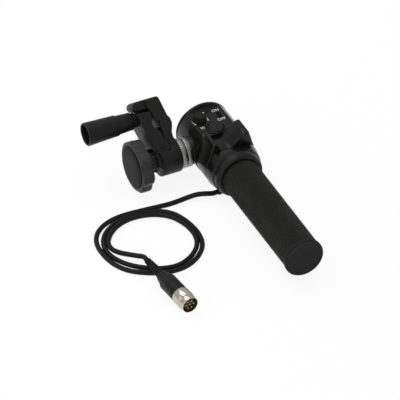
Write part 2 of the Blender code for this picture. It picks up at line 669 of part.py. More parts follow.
def make_back_cover(root):
    """Back cover with a locating spigot, and its screws."""
    rear = HEAD_BACK_Y + CLEARANCE + BACK_COVER_THICKNESS
    front = HEAD_BACK_Y + CLEARANCE
    spigot_radius = HEAD_RADIUS - HEAD_WALL - CLEARANCE
    cover = turned("back_cover",
                   [(0.0, rear), (HEAD_RADIUS - BACK_COVER_CHAMFER, rear),
                    (HEAD_RADIUS, rear - BACK_COVER_CHAMFER), (HEAD_RADIUS, front),
                    (spigot_radius, front), (spigot_radius, front - COVER_SPIGOT_DEPTH),
                    (spigot_radius - COVER_SPIGOT_WALL, front - COVER_SPIGOT_DEPTH),
                    (spigot_radius - COVER_SPIGOT_WALL, front), (0.0, front)],
                   root, (0.0, 0.0, 0.0), ALONG_Y, BLACK_GLOSS, closed=False)
    spigot_trim = box("spigot_flat", (2 * HEAD_RADIUS, HEAD_RADIUS, HEAD_RADIUS), root,
                      (0.0, front - HEAD_RADIUS / 2,
                       PANEL_SEAT_HEIGHT - HEAD_WALL - CLEARANCE + HEAD_RADIUS / 2))
    cut(cover, spigot_trim)
    head_y = rear + CLEARANCE + COVER_SCREW_HEAD_HEIGHT / 2
    for index, (x, z) in enumerate(cover_screw_places()):
        cut(cover, cylinder("cover_bore_" + str(index), COVER_SCREW_RADIUS + CLEARANCE,
                            HEAD_RADIUS, root, (x, rear, z), ALONG_Y))
        head = cylinder("cover_screw_" + str(index + 1), COVER_SCREW_HEAD_RADIUS,
                        COVER_SCREW_HEAD_HEIGHT, root, (x, head_y, z), ALONG_Y, DARK_STEEL)
        shank = cylinder("cover_shank_" + str(index), COVER_SCREW_RADIUS, COVER_SCREW_LENGTH,
                         root, (x, head_y - COVER_SCREW_LENGTH / 2, z), ALONG_Y)
        join(head, shank)
    return cover


def make_panel(root):
    """Flat control panel over the head's seat."""
    width = 2 * math.sqrt(HEAD_RADIUS ** 2 - PANEL_TOP_HEIGHT ** 2) - 2 * PANEL_SIDE_INSET
    back = HEAD_BACK_Y
    thickness = PANEL_THICKNESS - CLEARANCE
    height = PANEL_TOP_HEIGHT - thickness / 2
    panel = box("control_panel", (width, back - HEAD_FRONT_Y, thickness), root,
                (0.0, mid(HEAD_FRONT_Y, back), height), BLACK_GLOSS)
    return cut(panel, *panel_openings(root, "panel", height, PANEL_THICKNESS))


def make_dial(root):
    """Speed dial with a pointer groove, its shaft and its potentiometer."""
    base = PANEL_TOP_HEIGHT + CLEARANCE
    dial = cylinder("speed_dial", DIAL_RADIUS, DIAL_HEIGHT, root,
                    (DIAL_X, DIAL_Y, base + DIAL_HEIGHT / 2), finish=BLACK_SATIN,
                    sides=KNOB_SIDES, far_radius=DIAL_TOP_RADIUS)
    groove = box("dial_groove", (DIAL_POINTER_WIDTH, DIAL_RADIUS, DIAL_POINTER_DEPTH * 2),
                 root, (DIAL_X, DIAL_Y + DIAL_RADIUS / 2, base + DIAL_HEIGHT))
    shaft_top = base + DIAL_HEIGHT / 2
    shaft_bottom = PANEL_SEAT_HEIGHT - HEAD_WALL - DIAL_SHAFT_REACH
    shaft = cylinder("dial_shaft", DIAL_SHAFT_RADIUS, shaft_top - shaft_bottom, root,
                     (DIAL_X, DIAL_Y, mid(shaft_top, shaft_bottom)), finish=DARK_STEEL)
    shaft_bore = cylinder("dial_shaft_bore", DIAL_SHAFT_RADIUS + CLEARANCE,
                          2 * (shaft_top - shaft_bottom), root,
                          (DIAL_X, DIAL_Y, shaft_bottom + CLEARANCE))
    cut(dial, groove, shaft_bore)
    top = PANEL_SEAT_HEIGHT - HEAD_WALL - CLEARANCE
    bottom = top - DIAL_POT_HEIGHT
    bush_top = PANEL_TOP_HEIGHT
    bore = DIAL_SHAFT_RADIUS + CLEARANCE
    floor = shaft_bottom - CLEARANCE
    turned("dial_potentiometer",
           [(0.0, floor), (bore, floor), (bore, bush_top), (DIAL_BUSH_RADIUS, bush_top),
            (DIAL_BUSH_RADIUS, top), (DIAL_POT_RADIUS, top), (DIAL_POT_RADIUS, bottom),
            (0.0, bottom)],
           root, (DIAL_X, DIAL_Y, 0.0), UPRIGHT, GREY_PLASTIC, closed=False,
           sides=SMALL_SIDES)
    return dial


def make_switch(root):
    """Slide switch: a nub on a slider, in a body under the panel."""
    nub_bottom = PANEL_SEAT_HEIGHT - HEAD_WALL - CLEARANCE
    nub_top = PANEL_TOP_HEIGHT + SWITCH_NUB_RISE
    nub_root = nub_bottom - SWITCH_SLIDER_DEPTH / 2
    nub = box("slide_switch", (SWITCH_NUB_WIDTH, SWITCH_NUB_LENGTH, nub_top - nub_root),
              root, (SWITCH_X, SWITCH_Y - SWITCH_TRAVEL / 2, mid(nub_top, nub_root)),
              BLACK_SATIN)
    slider_width = SWITCH_BODY_WIDTH - 2 * SWITCH_BODY_END - 2 * CLEARANCE
    slider_length = SWITCH_NUB_LENGTH + SWITCH_TRAVEL
    slider_height = nub_bottom - SWITCH_SLIDER_DEPTH / 2
    join(nub, box("switch_slider", (slider_width, slider_length, SWITCH_SLIDER_DEPTH), root,
                  (SWITCH_X, SWITCH_Y - SWITCH_TRAVEL / 2, slider_height)))
    body_length = slider_length + SWITCH_TRAVEL + 2 * SWITCH_BODY_END + 2 * CLEARANCE
    body = box("switch_body", (SWITCH_BODY_WIDTH, body_length, SWITCH_BODY_HEIGHT), root,
               (SWITCH_X, SWITCH_Y, nub_bottom - SWITCH_BODY_HEIGHT / 2), GREY_PLASTIC)
    well_depth = SWITCH_SLIDER_DEPTH + CLEARANCE
    well = box("switch_well", (SWITCH_BODY_WIDTH - 2 * SWITCH_BODY_END,
                               body_length - 2 * SWITCH_BODY_END, 2 * well_depth),
               root, (SWITCH_X, SWITCH_Y, nub_bottom))
    cut(body, well)
    return nub


def make_button(root):
    """Round push button in a raised bezel, over its switch."""
    crown = PANEL_TOP_HEIGHT + BUTTON_RISE
    shoulder = crown - BUTTON_CROWN
    under = PANEL_TOP_HEIGHT - BUTTON_TRAVEL
    stem_end = PANEL_SEAT_HEIGHT - HEAD_WALL - BUTTON_TRAVEL - CLEARANCE
    turned("push_button",
           [(0.0, crown), (BUTTON_RADIUS - BUTTON_CROWN, crown), (BUTTON_RADIUS, shoulder),
            (BUTTON_RADIUS, under), (BUTTON_STEM_RADIUS, under - BUTTON_PLATE),
            (BUTTON_STEM_RADIUS, stem_end), (0.0, stem_end)],
           root, (BUTTON_X, BUTTON_Y, 0.0), UPRIGHT, BLACK_SATIN, closed=False)
    bezel_bottom = PANEL_TOP_HEIGHT + CLEARANCE
    inner = BUTTON_RADIUS + CLEARANCE
    turned("button_bezel",
           tube_profile(bezel_bottom + BEZEL_RISE, bezel_bottom, inner + BEZEL_WIDTH, inner),
           root, (BUTTON_X, BUTTON_Y, 0.0), UPRIGHT, BLACK_SATIN)
    switch_top = stem_end - BUTTON_TRAVEL - CLEARANCE
    box("button_switch", (BUTTON_SWITCH_SIZE, BUTTON_SWITCH_SIZE, BUTTON_SWITCH_HEIGHT), root,
        (BUTTON_X, BUTTON_Y, switch_top - BUTTON_SWITCH_HEIGHT / 2), GREY_PLASTIC)


def make_board(root):
    """Circuit board under the controls, on four posts, with one chip."""
    controls_bottom = PANEL_SEAT_HEIGHT - HEAD_WALL - 2 * CLEARANCE - DIAL_POT_HEIGHT
    board_top = controls_bottom - CLEARANCE
    board_z = board_top - BOARD_THICKNESS / 2
    board = box("circuit_board", (BOARD_WIDTH, BOARD_LENGTH, BOARD_THICKNESS), root,
                (0.0, BOARD_Y, board_z), BOARD_GREEN)
    riser_top = PANEL_SEAT_HEIGHT - HEAD_WALL - 2 * BUTTON_TRAVEL - 3 * CLEARANCE
    switch_bottom = riser_top - BUTTON_SWITCH_HEIGHT
    join(board, box("switch_riser", (BUTTON_SWITCH_SIZE, BUTTON_SWITCH_SIZE,
                                     switch_bottom - board_z), root,
                    (BUTTON_X, BUTTON_Y, mid(switch_bottom, board_z))))
    slide_bottom = PANEL_SEAT_HEIGHT - HEAD_WALL - 2 * CLEARANCE - SWITCH_BODY_HEIGHT
    join(board, box("slide_riser", (SWITCH_BODY_WIDTH, SWITCH_NUB_LENGTH,
                                    slide_bottom - board_z), root,
                    (SWITCH_X, SWITCH_Y, mid(slide_bottom, board_z))))
    box("board_chip", (CHIP_LENGTH, CHIP_WIDTH, CHIP_HEIGHT), root,
        (0.0, BOARD_Y, board_z - BOARD_THICKNESS / 2 - CLEARANCE - CHIP_HEIGHT / 2),
        BLACK_SATIN)
    return board


def make_board_posts(root, casing):
    """Posts from the head's floor up to the circuit board."""
    board_bottom = (PANEL_SEAT_HEIGHT - HEAD_WALL - 3 * CLEARANCE - DIAL_POT_HEIGHT
                    - BOARD_THICKNESS)
    top = board_bottom - CLEARANCE
    for index in range(BOARD_POST_COUNT):
        x = BOARD_WIDTH * BOARD_POST_X_SHARE * (1 if index % 2 else -1)
        y = BOARD_Y + BOARD_LENGTH * BOARD_POST_Y_SHARE * (1 if index > 1 else -1)
        floor = -math.sqrt((HEAD_RADIUS - HEAD_WALL / 2) ** 2 - x ** 2)
        join(casing, cylinder("board_post_" + str(index), BOARD_POST_RADIUS, top - floor, root,
                              (x, y, mid(top, floor)), sides=POST_SIDES))


def thumb_outline():
    """Outline of the thumb rocker seen along the grip: a ring with horns and a valley."""
    start = -180.0 - THUMB_FLANK_ANGLE_DEG
    lower = arc((0.0, 0.0), THUMB_RING_RADIUS, THUMB_FLANK_ANGLE_DEG, start, KNOB_SIDES)
    left_tip = [(-THUMB_HORN_X, THUMB_HORN_HEIGHT - THUMB_HORN_TIP / 2),
                (-THUMB_HORN_X + THUMB_HORN_TIP / 2, THUMB_HORN_HEIGHT),
                (-THUMB_HORN_X + THUMB_HORN_TIP, THUMB_HORN_HEIGHT)]
    slope = []
    inner_x = THUMB_HORN_X - THUMB_HORN_TIP
    for i in range(1, CURVE_STEPS):
        share = i / CURVE_STEPS
        x = inner_x + (THUMB_VALLEY_HALF_WIDTH - inner_x) * share
        fall = (1 - math.cos(math.pi * share)) / 2
        slope.append((-x, THUMB_HORN_HEIGHT - (THUMB_HORN_HEIGHT - THUMB_VALLEY_HEIGHT) * fall))
    left = left_tip + slope + [(-THUMB_VALLEY_HALF_WIDTH, THUMB_VALLEY_HEIGHT)]
    right = [(-x, z) for x, z in reversed(left)]
    return lower + left + right


def make_thumb_rocker(root):
    """Thumb rocker on its journal, with its drive pin, arm and potentiometer."""
    rocker = extruded("thumb_rocker",
                      [thumb_outline(), circle(JOURNAL_RADIUS + CLEARANCE, ROUND_SIDES)],
                      THUMB_RING_LENGTH, root, (0.0, mid(THUMB_REAR_Y, THUMB_FRONT_Y), 0.0),
                      finish=BLACK_SATIN)
    pin_top = -JOURNAL_RADIUS - DRIVE_PIN_INSET
    pin_hole = cylinder("drive_pin_hole", DRIVE_PIN_RADIUS + CLEARANCE,
                        2 * (DRIVE_PIN_INSET + CLEARANCE), root,
                        (0.0, DRIVE_PIN_Y, -JOURNAL_RADIUS))
    cut(rocker, pin_hole)
    arm_low = -JOURNAL_RADIUS + JOURNAL_WALL + CLEARANCE
    pin = cylinder("drive_arm", DRIVE_HUB_RADIUS, DRIVE_ARM_WIDTH, root,
                   (0.0, DRIVE_PIN_Y, 0.0), ALONG_Y, DARK_STEEL)
    join(pin, box("drive_lever", (DRIVE_ARM_THICKNESS, DRIVE_ARM_WIDTH, -arm_low), root,
                  (0.0, DRIVE_PIN_Y, arm_low / 2)))
    cut(pin, cylinder("drive_arm_bore", POT_SHAFT_RADIUS + CLEARANCE, DRIVE_ARM_WIDTH * 2,
                      root, (0.0, DRIVE_PIN_Y, 0.0), ALONG_Y))
    pin_root = arm_low + DRIVE_ARM_THICKNESS
    join(pin, cylinder("drive_pin", DRIVE_PIN_RADIUS, pin_root - pin_top,
                       root, (0.0, DRIVE_PIN_Y, mid(pin_top, pin_root)), sides=POST_SIDES))
    return rocker


def make_journal(root):
    """Fixed journal tube that the rocker turns on, and that carries the grip."""
    rear = THUMB_REAR_Y
    front = FRONT_RING_FRONT_Y
    journal = turned("journal_tube",
                     tube_profile(rear, front, JOURNAL_RADIUS, JOURNAL_RADIUS - JOURNAL_WALL),
                     root, (0.0, 0.0, 0.0), ALONG_Y, ALUMINIUM)
    swing = math.radians(THUMB_SWING_DEG)
    reach = JOURNAL_RADIUS + OVERRUN
    slot_half = swing + (DRIVE_PIN_RADIUS + 2 * CLEARANCE) / (JOURNAL_RADIUS - JOURNAL_WALL)
    half_deg = math.degrees(slot_half)
    window = [(0.0, 0.0)] + arc((0.0, 0.0), reach, -90.0 - half_deg, -90.0 + half_deg,
                                ARC_STEPS)
    slot = extruded("journal_slot", [window], 2 * (DRIVE_PIN_RADIUS + CLEARANCE), root,
                    (0.0, DRIVE_PIN_Y, 0.0))
    return cut(journal, slot)


def make_zoom_potentiometer(root):
    """Potentiometer on the grip axis, its shaft and the centring spring round its bush."""
    arm_rear = DRIVE_PIN_Y + DRIVE_ARM_WIDTH / 2
    bush_front = arm_rear + CLEARANCE
    bush_rear = bush_front + POT_BUSH_LENGTH
    body_rear = bush_rear + POT_LENGTH
    bore = POT_SHAFT_RADIUS + CLEARANCE
    flange_radius = JOURNAL_RADIUS - JOURNAL_WALL - CLEARANCE
    turned("zoom_potentiometer",
           [(0.0, body_rear), (POT_RADIUS, body_rear),
            (POT_RADIUS, bush_rear + POT_FLANGE_THICKNESS),
            (flange_radius, bush_rear + POT_FLANGE_THICKNESS), (flange_radius, bush_rear),
            (POT_BUSH_RADIUS, bush_rear), (POT_BUSH_RADIUS, bush_front), (bore, bush_front),
            (bore, mid(bush_rear, body_rear)), (0.0, mid(bush_rear, body_rear))],
           root, (0.0, 0.0, 0.0), ALONG_Y, GREY_PLASTIC, closed=False,
           sides=KNOB_SIDES)
    shaft_rear = mid(bush_rear, body_rear) - CLEARANCE
    shaft_front = DRIVE_PIN_Y - DRIVE_ARM_WIDTH / 2
    cylinder("pot_shaft", POT_SHAFT_RADIUS, shaft_rear - shaft_front, root,
             (0.0, mid(shaft_rear, shaft_front), 0.0), ALONG_Y, DARK_STEEL)
    coil_radius = POT_BUSH_RADIUS + CLEARANCE + SPRING_WIRE_RADIUS
    steps = int(SPRING_TURNS * SPRING_POINTS_PER_TURN)
    start_y = bush_front + CLEARANCE + SPRING_WIRE_RADIUS
    points = []
    for i in range(steps + 1):
        angle = 2 * math.pi * i / SPRING_POINTS_PER_TURN
        y = start_y + SPRING_PITCH * i / SPRING_POINTS_PER_TURN
        points.append((coil_radius * math.cos(angle), y, coil_radius * math.sin(angle)))
    wire("centring_spring", points, SPRING_WIRE_RADIUS, root, (0.0, 0.0, 0.0), DARK_STEEL)


def make_front_ring(root):
    """Fixed ring in front of the rocker, with a flat top facet and the cable outlet."""
    bore = JOURNAL_RADIUS + CLEARANCE
    ring = turned("front_ring",
                  [(FRONT_RING_REAR_RADIUS, FRONT_RING_REAR_Y),
                   (FRONT_RING_FRONT_RADIUS, FRONT_RING_FRONT_Y),
                   (bore, FRONT_RING_FRONT_Y), (bore, FRONT_RING_REAR_Y)],
                  root, (0.0, 0.0, 0.0), ALONG_Y, BLACK_GLOSS)
    flat = box("ring_flat", (2 * HEAD_RADIUS, 2 * FRONT_RING_LENGTH, HEAD_RADIUS), root,
               (0.0, mid(FRONT_RING_REAR_Y, FRONT_RING_FRONT_Y),
                FRONT_RING_FLAT_HEIGHT + HEAD_RADIUS / 2))
    outlet = cylinder("cable_outlet", GLAND_RADIUS + CLEARANCE, HEAD_RADIUS, root,
                      (GLAND_X + GLAND_LENGTH / 2 - HEAD_RADIUS / 2 + CLEARANCE, GLAND_Y,
                       GLAND_HEIGHT - HEAD_RADIUS), ALONG_X)
    cut(ring, flat, outlet)
    return ring


def make_collar(root):
    """Domed collar that closes the head round the grip."""
    outer = []
    for i in range(COLLAR_CURVE_STEPS + 1):
        angle = math.pi / 2 * i / COLLAR_CURVE_STEPS
        outer.append((COLLAR_FRONT_RADIUS + (COLLAR_REAR_RADIUS - COLLAR_FRONT_RADIUS)
                      * math.cos(angle),
                      COLLAR_REAR_Y - COLLAR_LENGTH * math.sin(angle)))
    grip_bore = GRIP_RADIUS + CLEARANCE
    tube_bore = GRIP_TUBE_RADIUS + CLEARANCE
    web_front = COLLAR_REAR_Y - COLLAR_WEB
    inner = [(grip_bore, COLLAR_FRONT_Y), (grip_bore, web_front), (tube_bore, web_front),
             (tube_bore, COLLAR_REAR_Y)]
    return turned("grip_collar", outer + inner, root, (0.0, 0.0, 0.0), ALONG_Y, BLACK_SATIN)


def vertex_ring(shape, radius, height, turn_share):
    """Add a ring of vertices, one to a column of diamonds, turned by a share of a column."""
    pitch = 2 * math.pi / KNURL_COLUMNS
    ring = []
    for i in range(KNURL_COLUMNS):
        angle = pitch * (i + turn_share)
        ring.append(shape.verts.new((radius * math.cos(angle), radius * math.sin(angle),
                                     height)))
    return ring


def make_sleeve(root):
    """Rubber sleeve, raised in shallow diamonds between crossing grooves."""
    shape = bmesh.new()
    rows = 2 * KNURL_ROWS
    step = (SLEEVE_REAR_Y - SLEEVE_FRONT_Y) / rows
    groove_radius = GRIP_RADIUS - KNURL_HEIGHT
    grooves = [vertex_ring(shape, groove_radius, SLEEVE_FRONT_Y + step * row, row % 2 / 2)
               for row in range(rows + 1)]
    for row in range(1, rows):
        height = SLEEVE_FRONT_Y + step * row
        tips = vertex_ring(shape, GRIP_RADIUS, height, (row % 2 + 1) / 2)
        for i in range(KNURL_COLUMNS):
            after = (i + 1) % KNURL_COLUMNS
            beside = (i + row % 2) % KNURL_COLUMNS
            corners = [grooves[row][i], grooves[row - 1][beside], grooves[row][after],
                       grooves[row + 1][beside]]
            for near, far in zip(corners, corners[1:] + corners[:1]):
                shape.faces.new((tips[i], near, far))
    bore = GRIP_TUBE_RADIUS + CLEARANCE
    bore_front = vertex_ring(shape, bore, SLEEVE_FRONT_Y, 0.0)
    bore_rear = vertex_ring(shape, bore, SLEEVE_REAR_Y, 0.0)
    for i in range(KNURL_COLUMNS):
        after = (i + 1) % KNURL_COLUMNS
        shape.faces.new((grooves[0][i], grooves[0][after], grooves[1][i]))
        shape.faces.new((grooves[rows][i], grooves[rows][after], grooves[rows - 1][i]))
        shape.faces.new((grooves[0][i], grooves[0][after], bore_front[after], bore_front[i]))
        shape.faces.new((grooves[rows][i], grooves[rows][after], bore_rear[after],
                         bore_rear[i]))
        shape.faces.new((bore_front[i], bore_front[after], bore_rear[after], bore_rear[i]))
    bmesh.ops.recalc_face_normals(shape, faces=shape.faces)
    return place(mesh_object("grip_sleeve", shape), root, (0.0, 0.0, 0.0), ALONG_Y,
                 BLACK_RUBBER)


def make_grip(root):
    """Grip tube, rubber sleeve and end cap with its screw."""
    tube_front = CAP_REAR_Y + CLEARANCE
    turned("grip_tube",
           tube_profile(GRIP_TUBE_REAR_Y, tube_front, GRIP_TUBE_RADIUS,
                        GRIP_TUBE_RADIUS - GRIP_TUBE_WALL),
           root, (0.0, 0.0, 0.0), ALONG_Y, ALUMINIUM)
    make_sleeve(root)
    spigot = GRIP_TUBE_RADIUS - GRIP_TUBE_WALL - CLEARANCE
    spigot_rear = CAP_REAR_Y + CAP_SPIGOT_LENGTH
    turned("end_cap",
           [(0.0, CAP_REAR_Y), (spigot - CAP_SPIGOT_WALL, CAP_REAR_Y),
            (spigot - CAP_SPIGOT_WALL, spigot_rear), (spigot, spigot_rear),
            (spigot, CAP_REAR_Y), (CAP_RADIUS, CAP_REAR_Y),
            (CAP_RADIUS, CAP_FRONT_Y + CAP_CHAMFER), (CAP_RADIUS - CAP_CHAMFER, CAP_FRONT_Y),
            (0.0, CAP_FRONT_Y)],
           root, (0.0, 0.0, 0.0), ALONG_Y, BLACK_SATIN, closed=False)


def make_swivel(root, clamp):
    """Stud and rosettes on the swivel axis; the outer rosette turns with the clamp."""
    cylinder("swivel_stud", STUD_RADIUS, STUD_INNER_X - STUD_END_X, root,
             (mid(STUD_INNER_X, STUD_END_X), 0.0, 0.0), ALONG_X, BRIGHT_STEEL)
    bore = STUD_RADIUS + CLEARANCE
    half = ROSETTE_THICKNESS / 2
    nut_x = BOSS_FACE_X + BOSS_DEPTH + CLEARANCE + STUD_NUT_THICKNESS / 2
    nut = cylinder("stud_nut", STUD_NUT_RADIUS, STUD_NUT_THICKNESS, root, (nut_x, 0.0, 0.0),
                   ALONG_X, BRIGHT_STEEL, sides=HEX_SIDES)
    cut(nut, cylinder("nut_bore", bore, 2 * STUD_NUT_THICKNESS, root, (nut_x, 0.0, 0.0),
                      ALONG_X))
    turned("head_rosette", tube_profile(half, -half, ROSETTE_RADIUS, bore, ROSETTE_CHAMFER),
           root, (HEAD_ROSETTE_X, 0.0, 0.0), ALONG_X, BRIGHT_STEEL)
    turned("clamp_rosette", tube_profile(half, -half, ROSETTE_RADIUS, bore, ROSETTE_CHAMFER),
           clamp, (CLAMP_ROSETTE_X, 0.0, 0.0), ALONG_X, BRIGHT_STEEL)


def lobed_outline(radius, depth, lobes, points_per_lobe):
    """Outline of a knob with evenly spaced rounded lobes."""
    count = lobes * points_per_lobe
    outline = []
    for i in range(count):
        angle = 2 * math.pi * i / count
        reach = radius - depth * (1 - math.cos(lobes * angle)) / 2
        outline.append((reach * math.cos(angle), reach * math.sin(angle)))
    return outline


def make_star_knob(root):
    """Lobed knob on the stud, with a ribbed boss, threaded insert, washer and domed cap."""
    star = extruded("star_knob",
                    [lobed_outline(STAR_RADIUS, STAR_LOBE_DEPTH, STAR_LOBES,
                                   STAR_POINTS_PER_LOBE)],
                    STAR_THICKNESS - 2 * STAR_RIM_CHAMFER, root,
                    (mid(STAR_LEFT_X, STAR_BOSS_LEFT_X), 0.0, 0.0), ALONG_X, BLACK_SATIN)
    core_radius = STAR_RADIUS - STAR_LOBE_DEPTH - STAR_RIM_CHAMFER
    core = cylinder("star_core", core_radius, STAR_THICKNESS, root,
                    (mid(STAR_LEFT_X, STAR_BOSS_LEFT_X), 0.0, 0.0), ALONG_X,
                    sides=ROUND_SIDES)
    boss_left = STAR_BOSS_LEFT_X - STAR_THICKNESS / 2
    boss = extruded("star_boss",
                    [lobed_outline(STAR_BOSS_RADIUS, STAR_BOSS_RIB_DEPTH, STAR_BOSS_RIBS,
                                   STAR_BOSS_POINTS_PER_RIB)],
                    STAR_RIGHT_X - boss_left, root, (mid(STAR_RIGHT_X, boss_left), 0.0, 0.0),
                    ALONG_X)
    join(star, core, boss)
    bore_left = STUD_END_X - CLEARANCE
    cut(star, cylinder("insert_bore", STAR_INSERT_RADIUS + CLEARANCE,
                       STAR_RIGHT_X - bore_left + OVERRUN, root,
                       (mid(STAR_RIGHT_X + OVERRUN, bore_left), 0.0, 0.0), ALONG_X))
    turned("star_knob_insert",
           tube_profile(STAR_RIGHT_X, bore_left + CLEARANCE, STAR_INSERT_RADIUS,
                        STUD_RADIUS + CLEARANCE),
           root, (0.0, 0.0, 0.0), ALONG_X, BRASS, sides=SMALL_SIDES)
    turned("star_knob_washer",
           tube_profile(WASHER_LEFT_X + KNOB_WASHER_THICKNESS, WASHER_LEFT_X,
                        KNOB_WASHER_RADIUS, STUD_RADIUS + CLEARANCE),
           root, (0.0, 0.0, 0.0), ALONG_X, BRIGHT_STEEL, sides=KNOB_SIDES)
    cap_base = STAR_LEFT_X - CLEARANCE
    dome = [(0.0, cap_base), (STAR_CAP_RADIUS, cap_base)]
    for i in range(STAR_CAP_STEPS):
        angle = math.pi / 2 * i / STAR_CAP_STEPS
        dome.append((STAR_CAP_RADIUS * math.cos(angle),
                     cap_base - STAR_CAP_RIM - STAR_CAP_RISE * math.sin(angle)))
    dome.append((0.0, cap_base - STAR_CAP_RIM - STAR_CAP_RISE))
    turned("star_knob_cap", dome, root, (0.0, 0.0, 0.0), ALONG_X, BLACK_SATIN, closed=False)
    return star


def fixed_jaw_outline():
    """Outline of the fixed jaw above the hub, seen from its front."""
    reach = FIXED_JAW_TOP_HEIGHT
    outer = [(HUB_RIGHT_X - HUB_WIDTH * across_share, reach * up_share)
             for across_share, up_share in FIXED_JAW_OUTER_SHARES]
    gap_height = BAR_GAP_TOP_HEIGHT - BAR_GAP_BOTTOM_HEIGHT
    gap = [(BAR_GAP_X + BAR_GAP_HALF_WIDTH * across_share,
            BAR_GAP_BOTTOM_HEIGHT + gap_height * up_share)
           for across_share, up_share in FIXED_JAW_GAP_SHARES]
    throat = BAR_GAP_X + JAW_SLIT
    inner = [
        (JAW_TIP_RIGHT_X - JAW_SLIT, FIXED_JAW_TOP_HEIGHT),
        (JAW_TIP_RIGHT_X - JAW_SLIT, FINGER_BOTTOM_HEIGHT),
        (JAW_TIP_RIGHT_X + JAW_SLIT / 2, JAW_TOP_HEIGHT),
        *gap,
        (throat, BAR_GAP_BOTTOM_HEIGHT),
        (throat + JAW_SLIT, HINGE_HEIGHT + KNUCKLE_RADIUS),
        (throat + JAW_SLIT, 0.0),
    ]
    return [*reversed(inner), *reversed(outer)]


def make_clamp_body(clamp):
    """Hub, fixed jaw and overhanging finger in one casting, with its bores and knuckle pocket."""
    body = cylinder("clamp_body", HUB_RADIUS, HUB_WIDTH, clamp,
                    (mid(HUB_LEFT_X, HUB_RIGHT_X), 0.0, 0.0), ALONG_X, CLAMP_PAINT,
                    sides=ROUND_SIDES)
    jaw = extruded("fixed_jaw", [fixed_jaw_outline()], CLAMP_DEPTH, clamp, (0.0, 0.0, 0.0))
    finger_height = FIXED_JAW_TOP_HEIGHT - FINGER_BOTTOM_HEIGHT
    tip_radius = finger_height / 2
    tip_centre = (FINGER_LEFT_X + tip_radius, mid(FIXED_JAW_TOP_HEIGHT, FINGER_BOTTOM_HEIGHT))
    finger_right = JAW_TIP_RIGHT_X + tip_radius
    finger = extruded("finger",
                      [[(finger_right, FIXED_JAW_TOP_HEIGHT),
                        *arc(tip_centre, tip_radius, 90.0, 270.0, CURVE_STEPS),
                        (finger_right, FINGER_BOTTOM_HEIGHT)]],
                      CLAMP_DEPTH * FINGER_DEPTH_SHARE, clamp, (0.0, 0.0, 0.0))
    join(body, jaw, finger)
    pocket_reach = KNUCKLE_RADIUS + CLEARANCE
    pocket_depth = KNUCKLE_DEPTH + 2 * CLEARANCE
    pocket_top = HINGE_HEIGHT + HUB_RADIUS
    pocket_left = HUB_LEFT_X - OVERRUN
    pocket_outline = [(pocket_left, pocket_top), (pocket_left, HINGE_HEIGHT - pocket_reach)]
    pocket_outline += arc((HINGE_X, HINGE_HEIGHT), pocket_reach, -90.0, 0.0, ARC_STEPS)
    pocket_outline.append((HINGE_X + pocket_reach, pocket_top))
    pocket = extruded("knuckle_pocket", [pocket_outline], pocket_depth, clamp,
                      (0.0, 0.0, 0.0))
    stud_bore = cylinder("hub_bore", STUD_RADIUS + CLEARANCE, HUB_WIDTH + 2 * OVERRUN, clamp,
                         (mid(HUB_LEFT_X, HUB_RIGHT_X), 0.0, 0.0), ALONG_X)
    screw_bore = cylinder("screw_bore", SCREW_RADIUS + CLEARANCE, HUB_WIDTH + 2 * OVERRUN,
                          clamp, (SCREW_END_X, 0.0, SCREW_HEIGHT), ALONG_X)
    jaw_seat_height = HINGE_HEIGHT + CHEEK_RADIUS + CLEARANCE
    shoulder = box("jaw_shoulder", (HINGE_X + pocket_reach - pocket_left, 2 * CLAMP_DEPTH,
                                    HUB_RADIUS), clamp,
                   (mid(pocket_left, HINGE_X + pocket_reach), 0.0,
                    jaw_seat_height + HUB_RADIUS / 2))
    pin_bore = cylinder("hinge_bore", HINGE_PIN_RADIUS + CLEARANCE, 2 * CLAMP_DEPTH, clamp,
                        (HINGE_X, 0.0, HINGE_HEIGHT), ALONG_Y)
    cheek = cylinder("cheek", CHEEK_RADIUS, CLAMP_DEPTH, clamp, (HINGE_X, 0.0, HINGE_HEIGHT),
                     ALONG_Y)
    join(body, cheek)
    return cut(body, pocket, shoulder, stud_bore, screw_bore, pin_bore)


def moving_jaw_outline():
    """Outline of the moving jaw above its knuckle, seen from its front."""
    foot = HINGE_HEIGHT + CHEEK_RADIUS + 2 * CLEARANCE
    width = JAW_TIP_RIGHT_X - JAW_TIP_LEFT_X
    gap_height = BAR_GAP_TOP_HEIGHT - BAR_GAP_BOTTOM_HEIGHT
    gap = [(BAR_GAP_X - BAR_GAP_HALF_WIDTH * across_share,
            BAR_GAP_BOTTOM_HEIGHT + gap_height * up_share)
           for across_share, up_share in MOVING_JAW_GAP_SHARES]
    reach = JAW_TOP_HEIGHT - foot
    outer = [(JAW_TIP_LEFT_X + width * across_share, foot + reach * up_share)
             for across_share, up_share in MOVING_JAW_OUTER_SHARES]
    root_right = HINGE_X + KNUCKLE_RADIUS - JAW_SLIT / 5
    return [
        (HINGE_X - KNUCKLE_RADIUS + JAW_SLIT / 5, foot),
        *outer,
        *gap,
        (BAR_GAP_X, BAR_GAP_BOTTOM_HEIGHT),
        (root_right, foot + JAW_SLIT),
        (root_right, foot),
    ]


